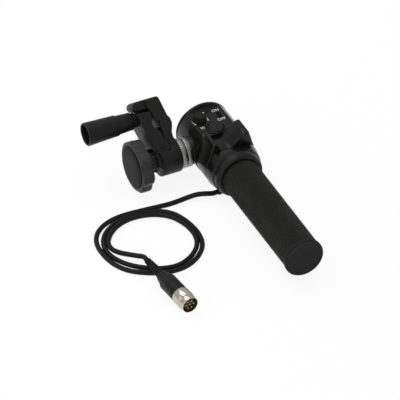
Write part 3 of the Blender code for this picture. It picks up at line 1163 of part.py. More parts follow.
def make_moving_jaw(clamp):
    """Moving jaw with its knuckle, forked round the clamp screw, and its hinge pin."""
    pivot = empty("jaw_pivot", clamp, (HINGE_X, 0.0, HINGE_HEIGHT))
    outline = [(x - HINGE_X, z - HINGE_HEIGHT) for x, z in moving_jaw_outline()]
    jaw = extruded("moving_jaw", [outline], CLAMP_DEPTH, pivot, (0.0, 0.0, 0.0),
                   finish=CLAMP_PAINT)
    knuckle = cylinder("knuckle", KNUCKLE_RADIUS, KNUCKLE_DEPTH, pivot, (0.0, 0.0, 0.0),
                       ALONG_Y)
    web_height = CHEEK_RADIUS + KNUCKLE_RADIUS / 2
    web = box("knuckle_web", (2 * KNUCKLE_RADIUS - JAW_SLIT / 2, KNUCKLE_DEPTH, web_height), pivot,
              (0.0, 0.0, web_height / 2))
    join(jaw, web, knuckle)
    fork = box("fork_slot", (4 * HUB_WIDTH, 2 * (SCREW_RADIUS + CLEARANCE), HUB_RADIUS), pivot,
               (0.0, 0.0, SCREW_HEIGHT - HINGE_HEIGHT - SCREW_RADIUS - CLEARANCE
                + HUB_RADIUS / 2))
    cut(jaw, fork, cylinder("knuckle_bore", HINGE_PIN_RADIUS + CLEARANCE, 2 * CLAMP_DEPTH,
                            pivot, (0.0, 0.0, 0.0), ALONG_Y))
    cylinder("jaw_hinge_pin", HINGE_PIN_RADIUS, CLAMP_DEPTH, clamp,
             (HINGE_X, 0.0, HINGE_HEIGHT), ALONG_Y, BRIGHT_STEEL)
    return jaw


def make_clamp_screw(clamp):
    """Thrust washer, screw and barrel knob with its hollow end."""
    axis = (0.0, 0.0, SCREW_HEIGHT)
    bore = SCREW_RADIUS + CLEARANCE
    turned("thrust_washer",
           tube_profile(THRUST_RIGHT_X, THRUST_LEFT_X, THRUST_WASHER_RADIUS, bore),
           clamp, axis, ALONG_X, BRIGHT_STEEL, sides=KNOB_SIDES)
    floor = BARREL_LEFT_X + BARREL_HOLLOW_DEPTH
    turned("clamp_knob",
           [(BARREL_NOSE_RADIUS, NECK_RIGHT_X), (BARREL_NECK_RADIUS, NECK_LEFT_X),
            (BARREL_STEP_RADIUS, NECK_LEFT_X),
            (BARREL_END_RADIUS, BARREL_LEFT_X + BARREL_RIM_CHAMFER),
            (BARREL_END_RADIUS - BARREL_RIM_CHAMFER, BARREL_LEFT_X),
            (BARREL_HOLLOW_RADIUS, BARREL_LEFT_X), (BARREL_HOLLOW_RADIUS, floor),
            (bore, floor), (bore, NECK_RIGHT_X)],
           clamp, axis, ALONG_X, BLACK_SATIN, sides=KNOB_SIDES)
    head_right = floor - CLEARANCE
    head_left = head_right - SCREW_HEAD_LENGTH
    head_middle = mid(head_left, head_right)
    screw = cylinder("clamp_screw", SCREW_RADIUS, SCREW_END_X - head_middle, clamp,
                     (mid(SCREW_END_X, head_middle), 0.0, SCREW_HEIGHT), ALONG_X, BRIGHT_STEEL)
    head = cylinder("screw_head", SCREW_HEAD_RADIUS, SCREW_HEAD_LENGTH, clamp,
                    (head_middle, 0.0, SCREW_HEIGHT), ALONG_X)
    socket = cylinder("screw_socket", SCREW_SOCKET_RADIUS, SCREW_HEAD_LENGTH, clamp,
                      (head_left, 0.0, SCREW_HEIGHT), ALONG_X, sides=HEX_SIDES)
    join(screw, head)
    return cut(screw, socket)


def make_gland(root):
    """Flanged cable gland in the front ring's underside."""
    inner = GLAND_X + GLAND_LENGTH / 2
    outer = GLAND_X - GLAND_LENGTH / 2
    turned("cable_gland",
           [(CORD_RADIUS + CLEARANCE, inner), (GLAND_RADIUS, inner), (GLAND_RADIUS, outer),
            (CORD_RADIUS + CLEARANCE, outer)],
           root, (0.0, GLAND_Y, GLAND_HEIGHT - HEAD_RADIUS), ALONG_X, BLACK_RUBBER,
           sides=SMALL_SIDES)


def smooth_route(points, spacing):
    """Read evenly spaced points from a smooth curve through a route's own points."""
    route = [Vector(point) for point in points]
    ends = [2 * route[0] - route[1], *route, 2 * route[-1] - route[-2]]
    dense = []
    for a, b, c, d in zip(ends, ends[1:], ends[2:], ends[3:]):
        for i in range(CURVE_STEPS):
            t = i / CURVE_STEPS
            dense.append(0.5 * ((2 * b) + (c - a) * t + (2 * a - 5 * b + 4 * c - d) * t ** 2
                                + (3 * b - a - 3 * c + d) * t ** 3))
    dense.append(route[-1])
    lengths = [0.0]
    for a, b in zip(dense, dense[1:]):
        lengths.append(lengths[-1] + (b - a).length)
    count = max(2, round(lengths[-1] / spacing))
    smooth = []
    index = 0
    for i in range(count + 1):
        target = lengths[-1] * i / count
        while index < len(dense) - 2 and lengths[index + 1] < target:
            index += 1
        span = lengths[index + 1] - lengths[index]
        smooth.append(dense[index].lerp(dense[index + 1], (target - lengths[index]) / span))
    return smooth


def plug_height():
    """Give the height of the plug's axis, its coupling ring lying on the table."""
    return COUPLING_RADIUS + CORD_LIFT


def make_cord(root):
    """Cord from the gland round its turns on the table to the plug's boot."""
    start = Vector((GLAND_X - GLAND_LENGTH / 2 - CLEARANCE, GLAND_Y, GLAND_HEIGHT))
    turn = math.radians(PLUG_TURN_DEG)
    ahead = Vector((math.sin(turn), -math.cos(turn), 0.0))
    end = Vector((PLUG_BACK_X, PLUG_BACK_Y, plug_height())) - ahead * CLEARANCE
    after_gland = start - Vector((CORD_LEAD, 0.0, 0.0))
    before_boot = end - ahead * CORD_LEAD
    lying = smooth_route([after_gland, *CORD_ROUTE, before_boot], CORD_POINT_SPACING)
    points = [start, *lying, end]
    wire("cord", points, CORD_RADIUS, root, (0.0, 0.0, -HEAD_RADIUS), BLACK_RUBBER)


def boot_profile():
    """Ribbed, tapering outer side of the plug's boot, front to back, then its bore."""
    outer = []
    pitch = BOOT_LENGTH / BOOT_RIBS
    for rib in range(BOOT_RIBS):
        front = BOOT_LENGTH - rib * pitch
        share = front / BOOT_LENGTH
        radius = BOOT_REAR_RADIUS + (BOOT_FRONT_RADIUS - BOOT_REAR_RADIUS) * share
        outer.append((radius, front))
        outer.append((radius, front - pitch * BOOT_RIB_SHARE))
        outer.append((radius - BOOT_RIB_DEPTH, front - pitch * BOOT_RIB_SHARE - BOOT_RIB_SLOPE))
        outer.append((radius - BOOT_RIB_DEPTH, front - pitch + BOOT_RIB_SLOPE))
    outer.append((BOOT_REAR_RADIUS - BOOT_RIB_DEPTH, 0.0))
    return [(0.0, BOOT_LENGTH), *outer, (0.0, 0.0)]


def make_plug(root):
    """Cable plug: ribbed boot, neck, shell, coupling ring, contact body and pins."""
    plug = empty("plug_axis", root, (PLUG_BACK_X, PLUG_BACK_Y, plug_height() - HEAD_RADIUS),
                 (math.pi / 2, 0.0, math.radians(PLUG_TURN_DEG)))
    here = (0.0, 0.0, 0.0)
    turned("plug_boot", boot_profile(), plug, here, UPRIGHT, BLACK_RUBBER, closed=False,
           sides=SMALL_SIDES)
    neck_rear = BOOT_LENGTH + CLEARANCE
    neck_front = neck_rear + NECK_LENGTH
    neck_radius = SHELL_RADIUS - SHELL_CHAMFER
    turned("plug_neck",
           [(0.0, neck_front), (neck_radius, neck_front), (NECK_REAR_RADIUS, neck_rear),
            (0.0, neck_rear)],
           plug, here, UPRIGHT, BLACK_SATIN, closed=False, sides=KNOB_SIDES)
    shell_rear = neck_front + CLEARANCE
    shell_front = shell_rear + SHELL_LENGTH
    tail_bore = CONTACT_BODY_RADIUS + CLEARANCE
    shell_floor = shell_rear + SHELL_WALL
    turned("plug_shell",
           [(0.0, shell_floor), (tail_bore, shell_floor), (tail_bore, shell_front),
            (SHELL_RADIUS, shell_front), (SHELL_RADIUS, shell_rear + SHELL_CHAMFER),
            (SHELL_RADIUS - SHELL_CHAMFER, shell_rear), (0.0, shell_rear)],
           plug, here, UPRIGHT, BLACK_SATIN, closed=False, sides=KNOB_SIDES)
    ring_rear = shell_front + CLEARANCE
    ring_front = ring_rear + COUPLING_LENGTH
    ring_bore = COUPLING_RADIUS - COUPLING_WALL
    turned("coupling_ring",
           [(ring_bore, ring_front), (COUPLING_RADIUS - CLEARANCE, ring_front),
            (COUPLING_RADIUS, ring_front - CLEARANCE), (COUPLING_RADIUS, ring_rear),
            (tail_bore, ring_rear), (tail_bore, ring_rear + COUPLING_LIP),
            (ring_bore, ring_rear + COUPLING_LIP)],
           plug, here, UPRIGHT, NICKEL, sides=KNOB_SIDES)
    body_front = ring_front - CONTACT_RECESS
    body_rear = shell_front - CONTACT_BODY_TAIL
    body = cylinder("contact_body", CONTACT_BODY_RADIUS, body_front - body_rear, plug,
                    (0.0, 0.0, mid(body_front, body_rear)), finish=BLACK_SATIN,
                    sides=KNOB_SIDES)
    pin_base = body_front + PIN_PROUD - PIN_LENGTH / 2
    for index in range(PIN_COUNT):
        angle = 2 * math.pi * index / (PIN_COUNT - 1)
        radius = PIN_CIRCLE_RADIUS if index < PIN_COUNT - 1 else 0.0
        spot = (radius * math.cos(angle), radius * math.sin(angle), pin_base)
        cut(body, cylinder("pin_bore_" + str(index), PIN_RADIUS + CLEARANCE,
                           PIN_LENGTH + 2 * CLEARANCE, plug, spot,
                           sides=PIN_SIDES))
        cylinder("contact_pin_" + str(index + 1), PIN_RADIUS, PIN_LENGTH, plug, spot,
                 finish=BRASS, sides=PIN_SIDES)


def main():
    """Build the whole part."""
    root = empty("zoom_demand_root", None, (CENTRE_X, CENTRE_Y, CENTRE_Z))
    casing = make_casing(root)
    make_board_posts(root, casing)
    make_back_cover(root)
    make_panel(root)
    make_dial(root)
    make_switch(root)
    make_button(root)
    make_board(root)
    make_thumb_rocker(root)
    make_journal(root)
    make_zoom_potentiometer(root)
    make_front_ring(root)
    make_collar(root)
    make_grip(root)
    clamp = empty("clamp_pivot", root, (0.0, 0.0, 0.0), (-CLAMP_LEAN, 0.0, 0.0))
    make_swivel(root, clamp)
    make_star_knob(clamp)
    make_clamp_body(clamp)
    make_moving_jaw(clamp)
    make_clamp_screw(clamp)
    make_gland(root)
    make_cord(root)
    make_plug(root)


clear_scene()
PARTS = new_collection("zoom_demand")
CUTTERS = new_collection("cutters")
main()
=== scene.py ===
"""Visual model of a hand-grip zoom demand with its bar clamp and control cable.

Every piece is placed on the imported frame: the grip runs along Y, the clamp leans back about the
swivel along X, and the table is the plane Z = 0. Sizes are in millimetres, which the modelling
functions turn to the frame's metres. Only the studio is laid out in metres.
"""
import logging
import math
from contextlib import contextmanager
from dataclasses import dataclass, field
from enum import Enum
from typing import Any, Iterator, Sequence

import bmesh
import bpy
from mathutils import Matrix, Vector


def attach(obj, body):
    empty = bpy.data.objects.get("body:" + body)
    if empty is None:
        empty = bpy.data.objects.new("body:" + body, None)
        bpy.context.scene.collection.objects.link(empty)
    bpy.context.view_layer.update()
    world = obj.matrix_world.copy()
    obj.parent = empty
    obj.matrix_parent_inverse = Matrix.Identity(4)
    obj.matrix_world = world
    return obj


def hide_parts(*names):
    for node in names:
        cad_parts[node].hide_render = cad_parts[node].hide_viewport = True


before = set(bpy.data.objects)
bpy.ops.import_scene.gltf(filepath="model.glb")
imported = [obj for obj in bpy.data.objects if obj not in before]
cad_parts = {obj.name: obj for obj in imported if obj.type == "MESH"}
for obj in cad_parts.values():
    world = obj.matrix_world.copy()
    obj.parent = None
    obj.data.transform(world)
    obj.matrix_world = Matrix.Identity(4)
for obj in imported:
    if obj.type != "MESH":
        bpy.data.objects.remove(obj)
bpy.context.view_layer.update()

LOG = logging.getLogger("zoom_demand")
MM = 0.001

Point = tuple[float, float]
Profile = Sequence[Point]
Shape = bpy.types.Object
Socket = bpy.types.NodeSocket
Tree = bpy.types.NodeTree

# Axes that a turned piece or an outline, modelled about Z, is laid in
UPRIGHT = Matrix()
ALONG_X = Matrix.Rotation(math.pi / 2, 4, "Y")
ALONG_Y = Matrix.Rotation(-math.pi / 2, 4, "X")
OUTLINE_UPRIGHT = Matrix.Rotation(math.pi / 2, 4, "X")
OUTLINE_SIDEWAYS = Matrix(((0, 0, 1, 0), (1, 0, 0, 0), (0, 1, 0, 0), (0, 0, 0, 1)))


class Grain(Enum):
    """How a surface's fine relief runs."""

    CLOUD = "cloud"
    PEBBLE = "pebble"
    TURNED = "turned"


class Sides(Enum):
    """How many sides a round piece is modelled with."""

    LARGE = 96
    MEDIUM = 64
    SMALL = 32
    TINY = 16


def linear(code: str) -> tuple[float, float, float, float]:
    """Turn an sRGB hex colour to linear light.

    Args:
        code: Six hex digits.

    Returns:
        Linear red, green and blue, with full alpha.
    """
    parts = [int(code[start:start + 2], 16) / 255 for start in (0, 2, 4)]
    red, green, blue = (part / 12.92 if part <= 0.04045 else ((part + 0.055) / 1.055) ** 2.4
                        for part in parts)
    return red, green, blue, 1.0


def add_node(tree: Tree, kind: str, settings: dict[str, Any] | None = None,
             values: dict[Any, Any] | None = None,
             links: dict[Any, Socket] | None = None) -> bpy.types.Node:
    """Add a node with its settings and links.

    Args:
        tree: The material's or the world's node tree.
        kind: The node's type name.
        settings: Properties of the node.
        values: Socket values, by socket name or number.
        links: Output sockets to join, by input socket name or number.

    Returns:
        The new node.
    """
    node = tree.nodes.new(kind)
    for key, value in (settings or {}).items():
        setattr(node, key, value)
    for key, value in (values or {}).items():
        node.inputs[key].default_value = value
    for key, source in (links or {}).items():
        tree.links.new(source, node.inputs[key])
    return node


@dataclass(frozen=True)
class Finish:
    """A surface finish: colours, gloss and the fine relief of how it was made.

    Attributes:
        name: The material's common name.
        colour: Main sRGB hex colour.
        mottle: sRGB hex colour that the grain drifts to.
        roughness: Roughness of the polished or moulded surface.
        spread: How far handling marks change the roughness.
        grain: Distance between grains.
        relief: Height of the grains.
        pattern: How the grains run.
        metallic: One for a metal.
        specular: Specular level of a dielectric.
        patch: Size of the patches that handling leaves.
    """

    name: str
    colour: str
    mottle: str
    roughness: float
    spread: float
    grain: float
    relief: float
    pattern: Grain = Grain.CLOUD
    metallic: float = 0.0
    specular: float = 0.5
    patch: float = 14.0

    def texture(self, tree: Tree, place: Socket) -> Socket:
        """Add the grain texture.

        Args:
            tree: The material's node tree.
            place: Object coordinates.

        Returns:
            The grain's height from 0 to 1.
        """
        scale = 1 / (self.grain * MM)
        if self.pattern is Grain.PEBBLE:
            cells = add_node(tree, "ShaderNodeTexVoronoi", {"feature": "SMOOTH_F1"},
                             {"Scale": scale, "Smoothness": 0.6}, {"Vector": place})
            return cells.outputs["Distance"]
        if self.pattern is Grain.TURNED:
            stretch = (1.0, 0.02, 0.02)
            lines = add_node(tree, "ShaderNodeMapping", None, {"Scale": stretch},
                             {"Vector": place})
            place = lines.outputs["Vector"]
        noise = add_node(tree, "ShaderNodeTexNoise", None,
                         {"Scale": scale, "Detail": 4.0, "Roughness": 0.55},
                         {"Vector": place})
        return noise.outputs["Fac"]

    def material(self) -> bpy.types.Material:
        """Give the finish's material, made once.

        Returns:
            The material.
        """
        made = bpy.data.materials.get(self.name)
        if made is not None:
            return made
        made = bpy.data.materials.new(self.name)
        made.use_nodes = True
        tree = made.node_tree
        shader = tree.nodes["Principled BSDF"]
        shader.inputs["Metallic"].default_value = self.metallic
        shader.inputs["Specular IOR Level"].default_value = self.specular
        place = add_node(tree, "ShaderNodeTexCoord").outputs["Object"]
        height = self.texture(tree, place)
        # The grain's raised points drift to the mottle colour; on the grip rubber that lighter
        # mottle is painted glint
        tint = add_node(tree, "ShaderNodeMix", {"data_type": "RGBA"},
                        {6: linear(self.colour), 7: linear(self.mottle)}, {0: height})
        patches = add_node(tree, "ShaderNodeTexNoise", None,
                           {"Scale": 1 / (self.patch * MM), "Detail": 3.0},
                           {"Vector": place})
        gloss = add_node(tree, "ShaderNodeMapRange", None,
                         {"From Min": 0.35, "From Max": 0.65,
                          "To Min": self.roughness - self.spread,
                          "To Max": self.roughness + self.spread},
                         {"Value": patches.outputs["Fac"]})
        bump = add_node(tree, "ShaderNodeBump", None,
                        {"Strength": 1.0, "Distance": self.relief * MM}, {"Height": height})
        tree.links.new(tint.outputs[2], shader.inputs["Base Color"])
        tree.links.new(gloss.outputs["Result"], shader.inputs["Roughness"])
        tree.links.new(bump.outputs["Normal"], shader.inputs["Normal"])
        return made


# Injection-moulded ABS with a polished tool: deep black with a faint orange peel and smudges
GLOSS_ABS = Finish("polished_black_abs", "141413", "181817", 0.24, 0.07, 2.2, 0.012,
                   specular=0.24)
# The same ABS on a flat cover: as black, with finer peel, so the sky lies evenly on it
PANEL_ABS = Finish("flat_black_abs", "181817", "1C1C1B", 0.30, 0.06, 1.4, 0.008,
                   specular=0.26)
# Spark-eroded nylon of the button, collar, cover and plug: soft satin black, polished in patches
SATIN_NYLON = Finish("satin_black_nylon", "151514", "1A1A19", 0.42, 0.10, 0.7, 0.02,
                     specular=0.24)
# Glass-filled nylon knobs weather to a dry charcoal grey with a fine even grain
KNOB_NYLON = Finish("glass_filled_nylon", "373737", "424241", 0.50, 0.06, 0.6, 0.03,
                    specular=0.25)
# Caps and small knobs in the same nylon, darker and matter, where hands rub them
CAP_NYLON = Finish("dark_glass_filled_nylon", "222222", "2A2A29", 0.60, 0.06, 0.8, 0.02,
                   specular=0.10)
# Barrel knob in phenolic resin: darker and a little shinier than the star knob
PHENOLIC = Finish("moulded_phenolic", "191918", "1F1F1E", 0.42, 0.08, 1.0, 0.02,
                  specular=0.22)
# Grip in moulded nitrile rubber: matt, with the grain's raised points a lighter grey as painted
# glints; the grain is drawn coarse to show
NITRILE = Finish("moulded_nitrile_rubber", "191918", "2A2A28", 0.55, 0.06, 0.5, 0.05,
                 specular=0.22)
# End cap in the same rubber on a smooth tool: an even, slightly lighter grey
CAP_RUBBER = Finish("smooth_nitrile_rubber", "1F1F1F", "252525", 0.60, 0.05, 0.9, 0.02,
                    specular=0.18)
# Die-cast aluminium under fine-textured stove enamel: charcoal with a grainy sheen
ENAMEL = Finish("textured_stove_enamel", "191918", "222221", 0.46, 0.07, 0.8, 0.05,
                Grain.PEBBLE, specular=0.24)
# Free-turned stainless steel: bright, with fine lines round the axis
TURNED_STEEL = Finish("turned_stainless_steel", "D8D3C8", "B5AFA4", 0.24, 0.06, 0.25, 0.012,
                      Grain.TURNED, metallic=1.0)
# Nickel plate over brass: a warm white metal with a soft polish
NICKEL_PLATE = Finish("nickel_plate", "D3CBC0", "BFB7AB", 0.24, 0.05, 1.2, 0.006,
                      metallic=1.0)
# Zinc-plated screws and shafts, duller than the nickel
ZINC_STEEL = Finish("zinc_plated_steel", "8C8C8E", "77777A", 0.38, 0.08, 0.6, 0.01,
                    metallic=1.0)
# Blackened steel of the washers and the hinge pin
BLACK_STEEL = Finish("blackened_steel", "343436", "2A2A2C", 0.42, 0.08, 0.6, 0.01,
                     metallic=1.0)
# Serrated discs in plain machined steel, brighter than the zinc of the screws
DISC_STEEL = Finish("machined_disc_steel", "9C9A96", "848280", 0.20, 0.06, 0.5, 0.012,
                    metallic=1.0)
# Gold-flashed brass for contacts and insert
GOLD_BRASS = Finish("gold_flashed_brass", "D9B86A", "BF9A4E", 0.28, 0.05, 0.8, 0.006,
                    metallic=1.0)
# Extruded aluminium tube: pale grey with draw lines
EXTRUDED_ALUMINIUM = Finish("extruded_aluminium", "B9BABC", "A6A7AA", 0.40, 0.06, 0.4, 0.01,
                            metallic=1.0)
# Soft PVC jacket of the cable: satin black with a faint drawn grain
PVC_JACKET = Finish("soft_pvc_jacket", "151515", "1A1A1A", 0.46, 0.06, 0.8, 0.02,
                    specular=0.20)
# Moulded rubber of the strain reliefs: matt black
BOOT_RUBBER = Finish("moulded_boot_rubber", "161515", "1D1C1C", 0.58, 0.06, 0.6, 0.03,
                     specular=0.20)
# Epoxy glass laminate with green solder resist
LAMINATE = Finish("epoxy_laminate", "1F5A32", "26683B", 0.35, 0.05, 0.5, 0.01)
# Grey moulded bodies of the switches and the plug's contact carrier
GREY_NYLON = Finish("grey_moulded_nylon", "606060", "6A6A68", 0.55, 0.06, 0.8, 0.02)
# Pad-printed epoxy ink: flat white, thin enough to show the surface beneath at its edges
WHITE_INK = Finish("pad_printed_white_ink", "E6E6E2", "D2D2CE", 0.55, 0.05, 0.4, 0.005)


@dataclass(frozen=True)
class Extent:
    """Lowest and highest corners of a node, seen from a piece's own axes.

    Attributes:
        low: Lowest corner.
        high: Highest corner.
    """

    low: tuple[float, ...]
    high: tuple[float, ...]

    @classmethod
    def of(cls, node: str, place: Matrix = UPRIGHT) -> "Extent":
        """Measure a node of the frame.

        Args:
            node: The node's name.
            place: Axes to measure along.

        Returns:
            The node's extent.
        """
        back = place.inverted()
        along = [*zip(*(back @ vertex.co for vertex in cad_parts[node].data.vertices))]
        return cls(tuple(min(values) / MM for values in along),
                   tuple(max(values) / MM for values in along))

    @property
    def centre(self) -> tuple[float, ...]:
        """Middle of the extent."""
        return tuple((low + high) / 2 for low, high in zip(self.low, self.high))


def vector(x: float, y: float, z: float) -> Vector:
    """Turn a point in millimetres to metres."""
    return Vector((x * MM, y * MM, z * MM))


def shift(x: float = 0.0, y: float = 0.0, z: float = 0.0) -> Matrix:
    """Give a move by so many millimetres."""
    return Matrix.Translation(vector(x, y, z))


def deselect() -> None:
    """Leave nothing selected."""
    bpy.ops.object.select_all(action="DESELECT")


def activate(obj: Shape) -> None:
    """Select one object alone and make it active.

    Args:
        obj: The object.
    """
    deselect()
    obj.select_set(True)
    bpy.context.view_layer.objects.active = obj


def turn(obj: Shape, place: Matrix) -> Shape:
    """Move an object's mesh by a matrix."""
    obj.data.transform(place)
    return obj


def copy_of(obj: Shape, name: str, place: Matrix) -> Shape:
    """Copy an object with its own mesh.

    Args:
        obj: The object.
        name: The copy's name.
        place: Axes that the copy is set in.

    Returns:
        The copy.
    """
    twin = obj.copy()
    twin.data = obj.data.copy()
    twin.name = name
    bpy.context.scene.collection.objects.link(twin)
    return turn(twin, place)


@contextmanager
def editing(obj: Shape) -> Iterator[bmesh.types.BMesh]:
    """Open an object in edit mode with everything selected.

    Args:
        obj: The mesh object.

    Yields:
        The mesh in edit mode.
    """
    activate(obj)
    bpy.ops.object.mode_set(mode="EDIT")
    bpy.ops.mesh.select_all(action="SELECT")
    yield bmesh.from_edit_mesh(obj.data)
    bmesh.update_edit_mesh(obj.data)
    bpy.ops.object.mode_set(mode="OBJECT")


def pick_faces(shape: bmesh.types.BMesh, chosen: Sequence[bmesh.types.BMFace]) -> None:
    """Select these faces alone.

    Args:
        shape: The mesh in edit mode.
        chosen: The faces.
    """
    bpy.ops.mesh.select_mode(type="FACE")
    bpy.ops.mesh.select_all(action="DESELECT")
    for face in chosen:
        face.select_set(True)
    shape.select_flush(True)


def lathe(name: str, profile: Profile, sides: Sides, place: Matrix = UPRIGHT,
          tube: bool = False, round_sides: int | None = None) -> Shape:
    """Model a turned piece about Z by extruding a ring along a profile, and place it.

    Args:
        name: The object's name.
        profile: Radius and height of each ring.
        sides: Number of sides.
        place: Axes that the piece is set in.
        tube: True when the profile closes on itself.
        round_sides: A number of sides that a pattern needs, in place of the usual one.

    Returns:
        The turned object, closed.
    """
    rings = [(radius * MM, height * MM) for radius, height in profile]
    first_radius, first_height = rings[0]
    deselect()
    bpy.ops.mesh.primitive_circle_add(vertices=round_sides or sides.value,
                                      radius=first_radius, location=(0.0, 0.0, first_height))
    obj = bpy.context.object
    obj.name = name
    obj.data.transform(obj.matrix_world)
    obj.matrix_world = Matrix()
    with editing(obj):
        for (radius, height), (next_radius, next_height) in zip(rings, rings[1:]):
            step = {"value": (0.0, 0.0, next_height - height)}
            bpy.ops.mesh.extrude_edges_move(TRANSFORM_OT_translate=step)
            share = next_radius / radius
            bpy.ops.transform.resize(value=(share, share, 1.0),
                                     center_override=(0.0, 0.0, next_height))
        bpy.ops.mesh.select_mode(type="EDGE")
        bpy.ops.mesh.select_all(action="DESELECT")
        bpy.ops.mesh.select_non_manifold()
        if tube:
            bpy.ops.mesh.bridge_edge_loops()
        else:
            bpy.ops.mesh.fill_holes(sides=0)
        bpy.ops.mesh.select_all(action="SELECT")
        bpy.ops.mesh.normals_make_consistent(inside=False)
    return turn(obj, place)


def rod(radius: float, low: float, high: float, sides: Sides, place: Matrix = UPRIGHT,
        round_sides: int | None = None) -> Shape:
    """Model a plain cylinder between two heights, mostly to cut with."""
    return lathe("rod", [(radius, low), (radius, high)], sides, place, False, round_sides)


def prism(name: str, outline: Profile, depth: float, place: Matrix = UPRIGHT) -> Shape:
    """Model a flat outline extruded along Z about its middle, and place it.

    Args:
        name: The object's name.
        outline: Corners in order.
        depth: Full depth.
        place: Axes that the piece is set in.

    Returns:
        The prism, closed.
    """
    deselect()
    bpy.ops.mesh.primitive_circle_add(vertices=len(outline), radius=1.0, fill_type="NGON")
    obj = bpy.context.object
    obj.name = name
    for vertex, (x, y) in zip(obj.data.vertices, outline):
        vertex.co = (x * MM, y * MM, -depth * MM / 2)
    with editing(obj):
        step = {"value": (0.0, 0.0, depth * MM)}
        bpy.ops.mesh.extrude_region_move(TRANSFORM_OT_translate=step)
        bpy.ops.mesh.select_all(action="SELECT")
        bpy.ops.mesh.normals_make_consistent(inside=False)
    return turn(obj, place)


def block(name: str, size: Sequence[float], centre: Sequence[float]) -> Shape:
    """Model a box.

    Args:
        name: The object's name.
        size: Its size along each axis.
        centre: Its middle.

    Returns:
        The box.
    """
    deselect()
    bpy.ops.mesh.primitive_cube_add(size=1.0)
    obj = bpy.context.object
    obj.name = name
    return turn(obj, shift(*centre) @ Matrix.Diagonal((*(Vector(size) * MM), 1.0)))


def use_modifier(obj: Shape, kind: str, **settings: Any) -> Shape:
    """Add a modifier and apply it.

    Args:
        obj: The mesh object.
        kind: The modifier's type.
        **settings: The modifier's properties.

    Returns:
        The object.
    """
    activate(obj)
    modifier = obj.modifiers.new(kind.lower(), kind)
    for key, value in settings.items():
        setattr(modifier, key, value)
    bpy.ops.object.modifier_apply(modifier=modifier.name)
    return obj


def soften(obj: Shape, width: float, segments: int, angle_deg: float = 30.0) -> Shape:
    """Round every edge that is sharper than an angle, in so many steps of a full width."""
    return use_modifier(obj, "BEVEL", width=width * MM, segments=segments,
                        limit_method="ANGLE", angle_limit=math.radians(angle_deg),
                        use_clamp_overlap=True)


def combine(obj: Shape, operation: str, *tools: Shape) -> Shape:
    """Cut tools from a piece or join them on, and remove the tools.

    Args:
        obj: The piece.
        operation: The Boolean modifier's operation.
        *tools: The shapes to cut with or to join on.

    Returns:
        The piece.
    """
    for tool in tools:
        use_modifier(obj, "BOOLEAN", operation=operation, object=tool)
        bpy.data.objects.remove(tool)
    return obj


def cut(obj: Shape, *tools: Shape) -> Shape:
    """Cut tools from a piece."""
    return combine(obj, "DIFFERENCE", *tools)


def unite(obj: Shape, *tools: Shape) -> Shape:
    """Unite a piece with the shapes that belong to it."""
    return combine(obj, "UNION", *tools)


def arc(centre: Point, radius: float, start_deg: float, end_deg: float,
        steps: int) -> list[Point]:
    """Give points on an arc.

    Args:
        centre: Its centre.
        radius: Its radius.
        start_deg: Angle of its first point.
        end_deg: Angle of its last point.
        steps: Number of points, less one.

    Returns:
        The points, both ends included.
    """
    angles = [math.radians(start_deg + (end_deg - start_deg) * step / steps)
              for step in range(steps + 1)]
    return [(centre[0] + radius * math.cos(angle), centre[1] + radius * math.sin(angle))
            for angle in angles]


def rounded(outline: Profile, radius: float, steps: int = 4) -> list[Point]:
    """Round the corners of an outline with arcs drawn as smooth curves.

    Args:
        outline: Corners in order.
        radius: How far from each corner its rounding starts, at most.
        steps: Points along each rounding, less one.

    Returns:
        The rounded outline.
    """
    points = [Vector(point) for point in outline]
    result = []
    for index, corner in enumerate(points):
        before = points[index - 1] - corner
        after = points[(index + 1) % len(points)] - corner
        reach = min(radius, before.length * 0.45, after.length * 0.45)
        start = corner + before.normalized() * reach
        end = corner + after.normalized() * reach
        for step in range(steps + 1):
            share = step / steps
            spot = start.lerp(corner, share).lerp(corner.lerp(end, share), share)
            result.append((spot.x, spot.y))
    return result


def flat_topped_circle(radius: float, flat_height: float, steps: int) -> list[Point]:
    """Give a circle's outline cut flat at a height above its centre."""
    edge = math.degrees(math.asin(flat_height / radius))
    return arc((0.0, 0.0), radius, edge, -180.0 - edge, steps)


def dome(radius: float, base: float, rise: float, steps: int) -> list[Point]:
    """Give a crowned end's profile, from its rim to a small ring at its tip.

    Args:
        radius: Radius at the rim.
        base: Height of the rim.
        rise: Height of the crown over the rim, below zero for one that points down.
        steps: Number of steps.

    Returns:
        Radius and height of each ring.
    """
    tip_share = 0.04
    profile = []
    for step in range(steps + 1):
        share = 1 - (1 - tip_share) * step / steps
        profile.append((radius * share, base + rise * math.sqrt(1 - share * share)))
    return profile


def emboss(obj: Shape, count: int, depth: float, low: float, high: float,
           sharp: float) -> Shape:
    """Pull the rings of a turned piece in between evenly spaced ribs.

    Args:
        obj: The turned piece, still about Z.
        count: Number of ribs.
        depth: Depth of the valleys.
        low: Lowest height that is changed.
        high: Highest height that is changed.
        sharp: Exponent of the valley's shape; above one narrows the valleys.

    Returns:
        The object.
    """
    for vertex in obj.data.vertices:
        x, y, height = vertex.co
        reach = math.hypot(x, y)
        if low * MM <= height <= high * MM and reach > depth * MM:
            wave = (1 - math.cos(count * math.atan2(y, x))) / 2
            share = 1 - depth * MM * wave ** sharp / reach
            vertex.co = (x * share, y * share, height)
    return obj


